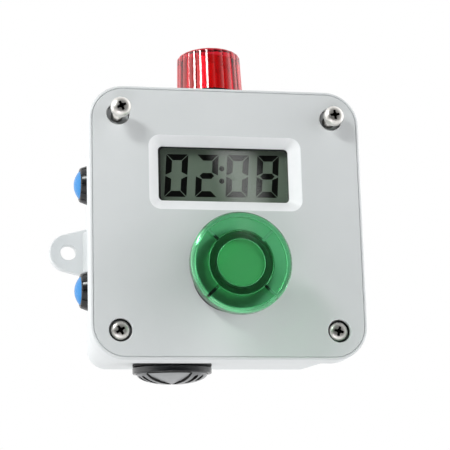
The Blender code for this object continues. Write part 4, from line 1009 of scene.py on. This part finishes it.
profile += [(inside + CAP_BEVEL, CAP_SKIRT_LOW), (inside, CAP_SKIRT_LOW + CAP_BEVEL)]
profile += arc(inside - CAP_FILLET, CAP_ROOF - CAP_FILLET, CAP_FILLET, 0, 90, 4)
profile += arc(CAP_TUBE + TUBE_FILLET, CAP_ROOF - TUBE_FILLET, TUBE_FILLET, 90, 180, 4)
profile += [(CAP_TUBE, CAP_TUBE_LOW), (CAP_BORE, CAP_TUBE_LOW)]
profile += arc(CAP_BORE - TUBE_FILLET, CAP_ROOF - TUBE_FILLET, TUBE_FILLET, 0, 90, 4) + [(0.0, CAP_ROOF)]
ribs = []
for index in range(CAP_RIBS):
    rib = []
    for level in (CAP_SKIRT_LOW + CAP_LIP, CAP_ROOF + RIB_OVERLAP):
        rib.append(rounded(inside - CAP_TUBE + CAP_WALL, CAP_RIB, RIB_EDGE, level, 2))
    rib = moved(skin("rib", rib), x=(inside + CAP_TUBE) / 2)
    ribs.append(moved(rib, turn=(index + 0.5) * 2 * math.pi / CAP_RIBS))
lens_mesh = carved(turned("start_lens", profile, CAP_SIDES), ribs, "UNION")


def is_frosted(face):
    """Whether a face of the lens is the underside of its roof, or the foot of its tube."""
    off = min(abs(face.center.z - level) for level in (CAP_ROOF, CAP_TUBE_LOW))
    return face.normal.z < -0.9 and off < NEAR


def is_disc(face):
    """Whether a face of the lens is the roof over the diffuser."""
    return is_frosted(face) and off_axis(face) < CAP_BORE


# The roof over the diffuser carries painted light: a paler copy of the frosted finish.
finishes = [(FROSTED, is_frosted), (FROSTED_PAINTED_LIGHT, is_disc)]
piece("start_lens", lens_mesh, START, "green_polycarbonate", "start_button", "start_cap", others=finishes)

# %% [markdown]
# The two blue buttons sit in black bezels with narrow notches for grip. The notches are in the rings: their
# radius steps in at each one, and the step fades where the rim rolls over to its mouth. Boolean cutters
# would leave sharp ends there.

# %% Side buttons
BEZEL, BEZEL_FRONT, BEZEL_BORE = 8.4 * MM, 7.0 * MM, 6.15 * MM
BEZEL_BARREL, BEZEL_REACH, STEM_HOLE, STEM_BORE = 5.9 * MM, -13.0 * MM, 2.7 * MM, 4.4 * MM
NOTCHES, NOTCH_DEEP, NOTCH_SHARE, NOTCH_TURN = 12, 0.45 * MM, 0.22, math.radians(21.3)
NOTCH_FLANK, BEZEL_SIDES = 0.12, 24 * NOTCHES
RIM = ((0.3, 3.9, 1.0), (0.08, 4.25, 0.6), (-0.15, 4.5, 0.0))  # mm out, mm up, share of a notch's depth
BEZEL_FOOT, FOOT_SHARE, MOUTH, MOUTH_EDGE = 0.35 * MM, 0.3, 0.4 * MM, 0.15 * MM
WELL, WEB = 2.0 * MM, -0.5 * MM
DOME, DOME_HIGH, DOME_EDGE, SOCKET, SOCKET_DEEP = 5.85 * MM, 2.3 * MM, 0.2 * MM, 2.0 * MM, 1.9 * MM


def notched(radius, depth):
    """A radius with grip notches: narrow valleys of a given depth between wide lands."""
    def reach(angle):
        turn = (angle - NOTCH_TURN) * NOTCHES / (2 * math.pi)
        across = 2 * abs(turn - round(turn))
        return radius - depth * min(1.0, max(0.0, (NOTCH_SHARE - across) / NOTCH_FLANK))
    return reach


for name, place in SIDES.items():
    profile = [(notched(BEZEL, NOTCH_DEEP * FOOT_SHARE), GAP), (notched(BEZEL, NOTCH_DEEP), GAP + BEZEL_FOOT)]
    profile += [(notched(BEZEL_FRONT + out * MM, NOTCH_DEEP * part), up * MM) for out, up, part in RIM]
    profile += [(BEZEL_FRONT - MOUTH, BEZEL_HIGH), (BEZEL_BORE + MOUTH_EDGE, BEZEL_HIGH)]
    profile += [(BEZEL_BORE, BEZEL_HIGH - MOUTH_EDGE), (BEZEL_BORE, WELL), (STEM_HOLE, WELL)]
    profile += [(STEM_HOLE, WEB), (STEM_BORE, WEB), (STEM_BORE, BEZEL_REACH)]
    profile += [(BEZEL_BARREL, BEZEL_REACH), (BEZEL_BARREL, GAP)]
    mesh = turned("notched_bezel_" + name, profile, BEZEL_SIDES, loop=True)
    piece("notched_bezel_" + name, mesh, place, "black_plastic", "case", f"side_{name}_bezel")
    foot, crown = (corner.z for corner in on_seat(f"side_{name}_cap", place))
    ball = (DOME**2 + DOME_HIGH**2) / (2 * DOME_HIGH)
    spread = math.degrees(math.asin(DOME / ball))
    profile = arc(0.0, crown - ball, ball, 90, 90 - spread, 14)
    profile += [(DOME, foot + DOME_EDGE), (DOME - DOME_EDGE, foot), (SOCKET, foot)]
    profile += [(SOCKET, foot + SOCKET_DEEP), (0.0, foot + SOCKET_DEEP)]
    mesh = turned("blue_dome_" + name, profile)
    piece("blue_dome_" + name, mesh, place, "blue_plastic", "side_button_" + name, f"side_{name}_cap")

# %% [markdown]
# The beacon's lens is a red cup with round flutes down its side, which break the lamp's light into strips.
# The flutes fade into the rounded top. They could be a bump, but real ridges also shape the lens's outline.

# %% Beacon lens
LENS, LENS_DRAFT, LENS_WALL, LENS_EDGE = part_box("beacon_lens")[1].x, 0.6 * MM, 2.3 * MM, 1.0 * MM
FLUTES, FLUTE_DEEP, LENS_FILLET = 22, 0.35 * MM, 0.8 * MM
lens_low, lens_high = (corner.z for corner in on_seat("beacon_lens", BEACON))


def fluted(radius, depth):
    """A radius with round ridges side by side."""
    def reach(angle):
        across = (angle * FLUTES / (2 * math.pi) + 0.5) % 1.0
        return radius - depth * (2 * across - 1.0) ** 2
    return reach


LENS_SIDES = 16 * FLUTES
ROOF_RING, TOP_RING = 0.6, 0.5  # shares of the radius at which the flat faces are divided
lens_top = LENS - LENS_DRAFT
inside, roof = lens_top - LENS_WALL, lens_high - LENS_WALL
profile = [(0.0, roof), (inside * ROOF_RING, roof)]
profile += arc(inside - LENS_FILLET, roof - LENS_FILLET, LENS_FILLET, 90, 0, 4)
profile += [(LENS - LENS_WALL, lens_low), (fluted(LENS, FLUTE_DEEP), lens_low)]
edge = arc(lens_top - LENS_EDGE, lens_high - LENS_EDGE, LENS_EDGE, 0, 90, 6)
for index, (radius, level) in enumerate(edge):
    profile.append((fluted(radius, FLUTE_DEEP * (1 - index / (len(edge) - 1))), level))
profile += [(LENS * TOP_RING, lens_high), (0.0, lens_high)]
mesh = turned("fluted_lens", profile, LENS_SIDES)
piece("fluted_lens", mesh, BEACON, "red_polycarbonate", "case", "beacon_lens")

# %% [markdown]
# Inside the lens stands a square white post that carries the light-emitting chips, two on each face. It is
# seen only dimly through the red, so plain blocks joined to the post are enough.

# %% Beacon post
post_low, post_high = (corner.z for corner in on_seat("beacon_lamp", BEACON))
POST_HALF, POST_EDGE, POST_BEVEL, TOP_EDGE = 3.0 * MM, 0.6 * MM, 0.5 * MM, 0.4 * MM
POST_TURN = math.radians(53)
CHIP_WIDE, CHIP_TALL, CHIP_PROUD, CHIP_EDGE = 2.6 * MM, 2.2 * MM, 0.5 * MM, 0.3 * MM
CHIP_ROWS = (0.27, 0.7)  # shares of the post's height
wide, top_wide = 2 * POST_HALF, 2 * (POST_HALF - POST_BEVEL)
rings = [rounded(wide, wide, POST_EDGE, level, 3) for level in (post_low, post_high - POST_BEVEL)]
rings.append(rounded(top_wide, top_wide, TOP_EDGE, post_high, 3))
chips = []
for face in range(4):
    for row in CHIP_ROWS:
        centre = post_low + (post_high - post_low) * row
        ends = [rounded(CHIP_WIDE, CHIP_TALL, CHIP_EDGE, level, 3) for level in (-CHIP_PROUD, CHIP_PROUD)]
        chip = skin("chip", ends)
        stand = Matrix.Rotation(face * QUARTER, 4, "Z") @ Matrix.Translation((POST_HALF, 0.0, centre))
        chip.transform(stand @ Matrix.Rotation(QUARTER, 4, "Y"))
        chips.append(chip)
mesh = moved(carved(skin("beacon_post", rings), chips, "UNION"), turn=POST_TURN)
piece("beacon_post", mesh, BEACON, "white_plastic", "case", "beacon_lamp")

# %% [markdown]
# The sounder is a black cup with a rolled lip. A cup could be cut hollow with a Boolean, but one profile
# that runs over the lip and back through the bore turns it all at once.

# %% Sounder
cup_low, cup_high = on_seat("sounder_body", SOUNDER)
CUP, GRILLE_BORE = cup_high.x, 14.9 * MM
LIP, GRILLE_STEP, DISC_STEP = 0.4 * MM, SOUNDER_HIGH - 1.2 * MM, SOUNDER_HIGH - 8.2 * MM
BORE_EDGE, FLANGE_EDGE, FLANGE_LOW = 0.2 * MM, 0.3 * MM, 1.6 * MM
CUP_BARREL, CUP_BORE, DISC_BORE = 13.5 * MM, 10.0 * MM, 11.5 * MM
WIRE_HOLE, CUP_FLOOR = 1.5 * MM, cup_low.z + 2.0 * MM
profile = [(GRILLE_BORE, SOUNDER_HIGH - BORE_EDGE), (GRILLE_BORE + BORE_EDGE, SOUNDER_HIGH)]
profile += arc(CUP - LIP, SOUNDER_HIGH - LIP, LIP, 90, 0, 5)
profile += [(CUP, FLANGE_LOW + FLANGE_EDGE), (CUP - FLANGE_EDGE, FLANGE_LOW), (CUP_BARREL, FLANGE_LOW)]
profile += [(CUP_BARREL, cup_low.z), (WIRE_HOLE, cup_low.z), (WIRE_HOLE, CUP_FLOOR)]
profile += [(CUP_BORE, CUP_FLOOR), (CUP_BORE, DISC_STEP), (DISC_BORE, DISC_STEP)]
profile += [(DISC_BORE, GRILLE_STEP), (GRILLE_BORE, GRILLE_STEP)]
mesh = turned("sounder_cup", profile, sides=96, loop=True)
piece("sounder_cup", mesh, SOUNDER, "black_plastic", "case", "sounder_body")

# %% [markdown]
# The grille is a dome with slots to the left and right, and the wedges between them are plain and sunk
# towards a cone. Wedges could be cut out and joined in again, but here the points of each ring that lie in
# a plain wedge are simply set lower.

# %% Grille dome
grille_low, grille_high = on_seat("sounder_grille", SOUNDER)
INSIDE_CAD = 0.05 * MM  # keeps the dome inside the CAD model's box
GRILLE, GRILLE_DOME = grille_high.x, grille_high.z - SOUNDER_HIGH - INSIDE_CAD
GRILLE_SIDES, DOME_STEPS = 144, 24
SPREAD = math.radians(38)  # half the angle of a plain wedge
PLAIN_SINK = 0.6  # how far a plain wedge sinks from the dome to the cone


def on_dome(out):
    """The level of the grille's face at a distance from its axis."""
    return SOUNDER_HIGH + GRILLE_DOME * math.sqrt(max(0.0, 1.0 - (out / GRILLE) ** 2))


def grille_ring(out):
    """A ring of the grille's face: on the dome, or sunk towards a cone where a wedge is plain."""
    cone = SOUNDER_HIGH + GRILLE_DOME * (1.0 - out / GRILLE)
    sunk = on_dome(out) + PLAIN_SINK * (cone - on_dome(out))
    ring = circle(out, on_dome(out), GRILLE_SIDES)
    return [(x, y, sunk if abs(x) < out * math.sin(SPREAD) else z) for x, y, z in ring]


rings = [circle(0.0, grille_low.z, GRILLE_SIDES), circle(GRILLE, grille_low.z, GRILLE_SIDES)]
rings += [grille_ring(GRILLE * math.cos(QUARTER * step / DOME_STEPS)) for step in range(DOME_STEPS + 1)]
grille_mesh = skin("sounder_grille_face", rings)
print("grille dome", round(GRILLE_DOME / MM, 2), "mm high,", len(grille_mesh.polygons), "faces")

# %% [markdown]
# The slots let the sound out, and two grooves that cross on the crown follow the edges of the plain wedges.
# A straight cutter would go deepest in the middle of the dome. A groove keeps its depth all the way, so its
# cutter is a stack of small frames set on the dome.

# %% Grille slots and grooves
SLOTS, SLOT_WIDE, SLOT_PITCH, SLOT_CORNER = 2, 2.1 * MM, 3.3 * MM, 1.0 * MM
SLOT_RIM, SLOT_CUT = 0.5 * MM, 12.0 * MM
GROOVE, GROOVE_SINK = 0.7 * MM, 0.85 * MM
GROOVE_STEPS, RIM_STEP = 12, 12.4  # a groove's cutter stops just short of the rim
GRILLE_TURN = math.radians(15)
tools = []
across, along = math.sin(SPREAD), math.cos(SPREAD)
for index in range(SLOTS):
    out = (index + 1) * SLOT_PITCH
    reach = math.sqrt((GRILLE - SLOT_RIM) ** 2 - out**2)
    start = (out * across + SLOT_WIDE) / along
    centre = (start + reach) / 2
    for side in (-1, 1):
        for front in (-1, 1):
            ends = [rounded(reach - start, SLOT_WIDE, SLOT_CORNER, level, 5) for level in (0.0, SLOT_CUT)]
            spot = (side * (out * along + centre * across), front * (centre * along - out * across))
            tools.append(moved(skin("slot", ends), *spot, turn=side * front * (QUARTER - SPREAD)))
for turn in (QUARTER - SPREAD, QUARTER + SPREAD):
    frames = []
    for step in range(-GROOVE_STEPS, GROOVE_STEPS + 1):
        out = GRILLE * step / RIM_STEP
        low, high = on_dome(out) - GROOVE_SINK, on_dome(out) + OVERCUT
        corners = ((-1, low), (1, low), (1, high), (-1, high))
        frames.append([(out, side * GROOVE / 2, level) for side, level in corners])
    tools.append(moved(skin("groove", frames), turn=turn))
grille_mesh = moved(carved(grille_mesh, tools), turn=GRILLE_TURN)
print(len(tools), "cutters, grille turned", round(math.degrees(GRILLE_TURN)), "degrees")

# %% [markdown]
# Painted shade: the slotted wedges are coloured darker than the plain ones, and the faces inside slots and
# grooves, where no light comes, are coloured black. Separate pieces could have those finishes, but the real
# grille is one moulding, so faces are chosen.

# %% Grille finishes
SUNK = 0.15 * MM


def is_slotted(face):
    """Whether a face of the grille lies in one of its slotted wedges."""
    return abs(math.cos(math.atan2(face.center.y, face.center.x) - GRILLE_TURN)) > math.sin(SPREAD)


def is_sunk(face):
    """Whether a face of the grille lies inside a slot or a groove, where no light comes; it gets painted
    shade.
    """
    deep = on_dome(off_axis(face)) - face.center.z > SUNK
    return deep and (is_slotted(face) or face.normal.z < 0.8)


# Painted shade: the slotted wedges are coloured darker, and faces in slots and grooves get the black rubber
# finish.
finishes = [(SLOTTED_PAINTED_SHADE, is_slotted), (FINISHES["black_rubber"], is_sunk)]
name = "sounder_grille_face"
node = "sounder_grille"
# The grille's grey colour is a painted reflection of the pale floor below.
piece(name, grille_mesh, SOUNDER, "black_plastic", "case", node, look=GRILLE_PAINTED_REFLECTION, others=finishes)

# %% [markdown]
# A return spring shortens when its button is pressed. Here it keeps its CAD shape at rest, as a mesh of its
# own with the zinc finish.

# %% Return springs
SPRINGS = {"start": "start_button", "side_upper": "side_button_upper", "side_lower": "side_button_lower"}
for name, button in SPRINGS.items():
    node = name + "_spring"
    inner, outer = middle(node), middle(node)
    along = 1 if name == "start" else 0
    outer[along], inner[along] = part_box(node)[0][along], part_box(node)[1][along]
    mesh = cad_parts[node].data.copy()
    mesh.materials.clear()
    mesh.materials.append(FINISHES["zinc_plated_steel"])
    coil = link(name + "_coil", mesh)
    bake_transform(coil)
    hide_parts(node)
    print(coil.name, round((inner - outer).length / MM, 1), "mm long at rest")

# %% [markdown]
# Pieces whose CAD shape is right, most of them inside the box, keep it and take the finish of their slot.
# Drawing them again would change nothing that shows.

# %% Remaining CAD nodes
kept = 0
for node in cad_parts.values():
    for slot in node.material_slots:
        slot.material = FINISHES[slot.material.name.split(".")[0]]
        kept += 1
print(kept, "CAD nodes have a finish")
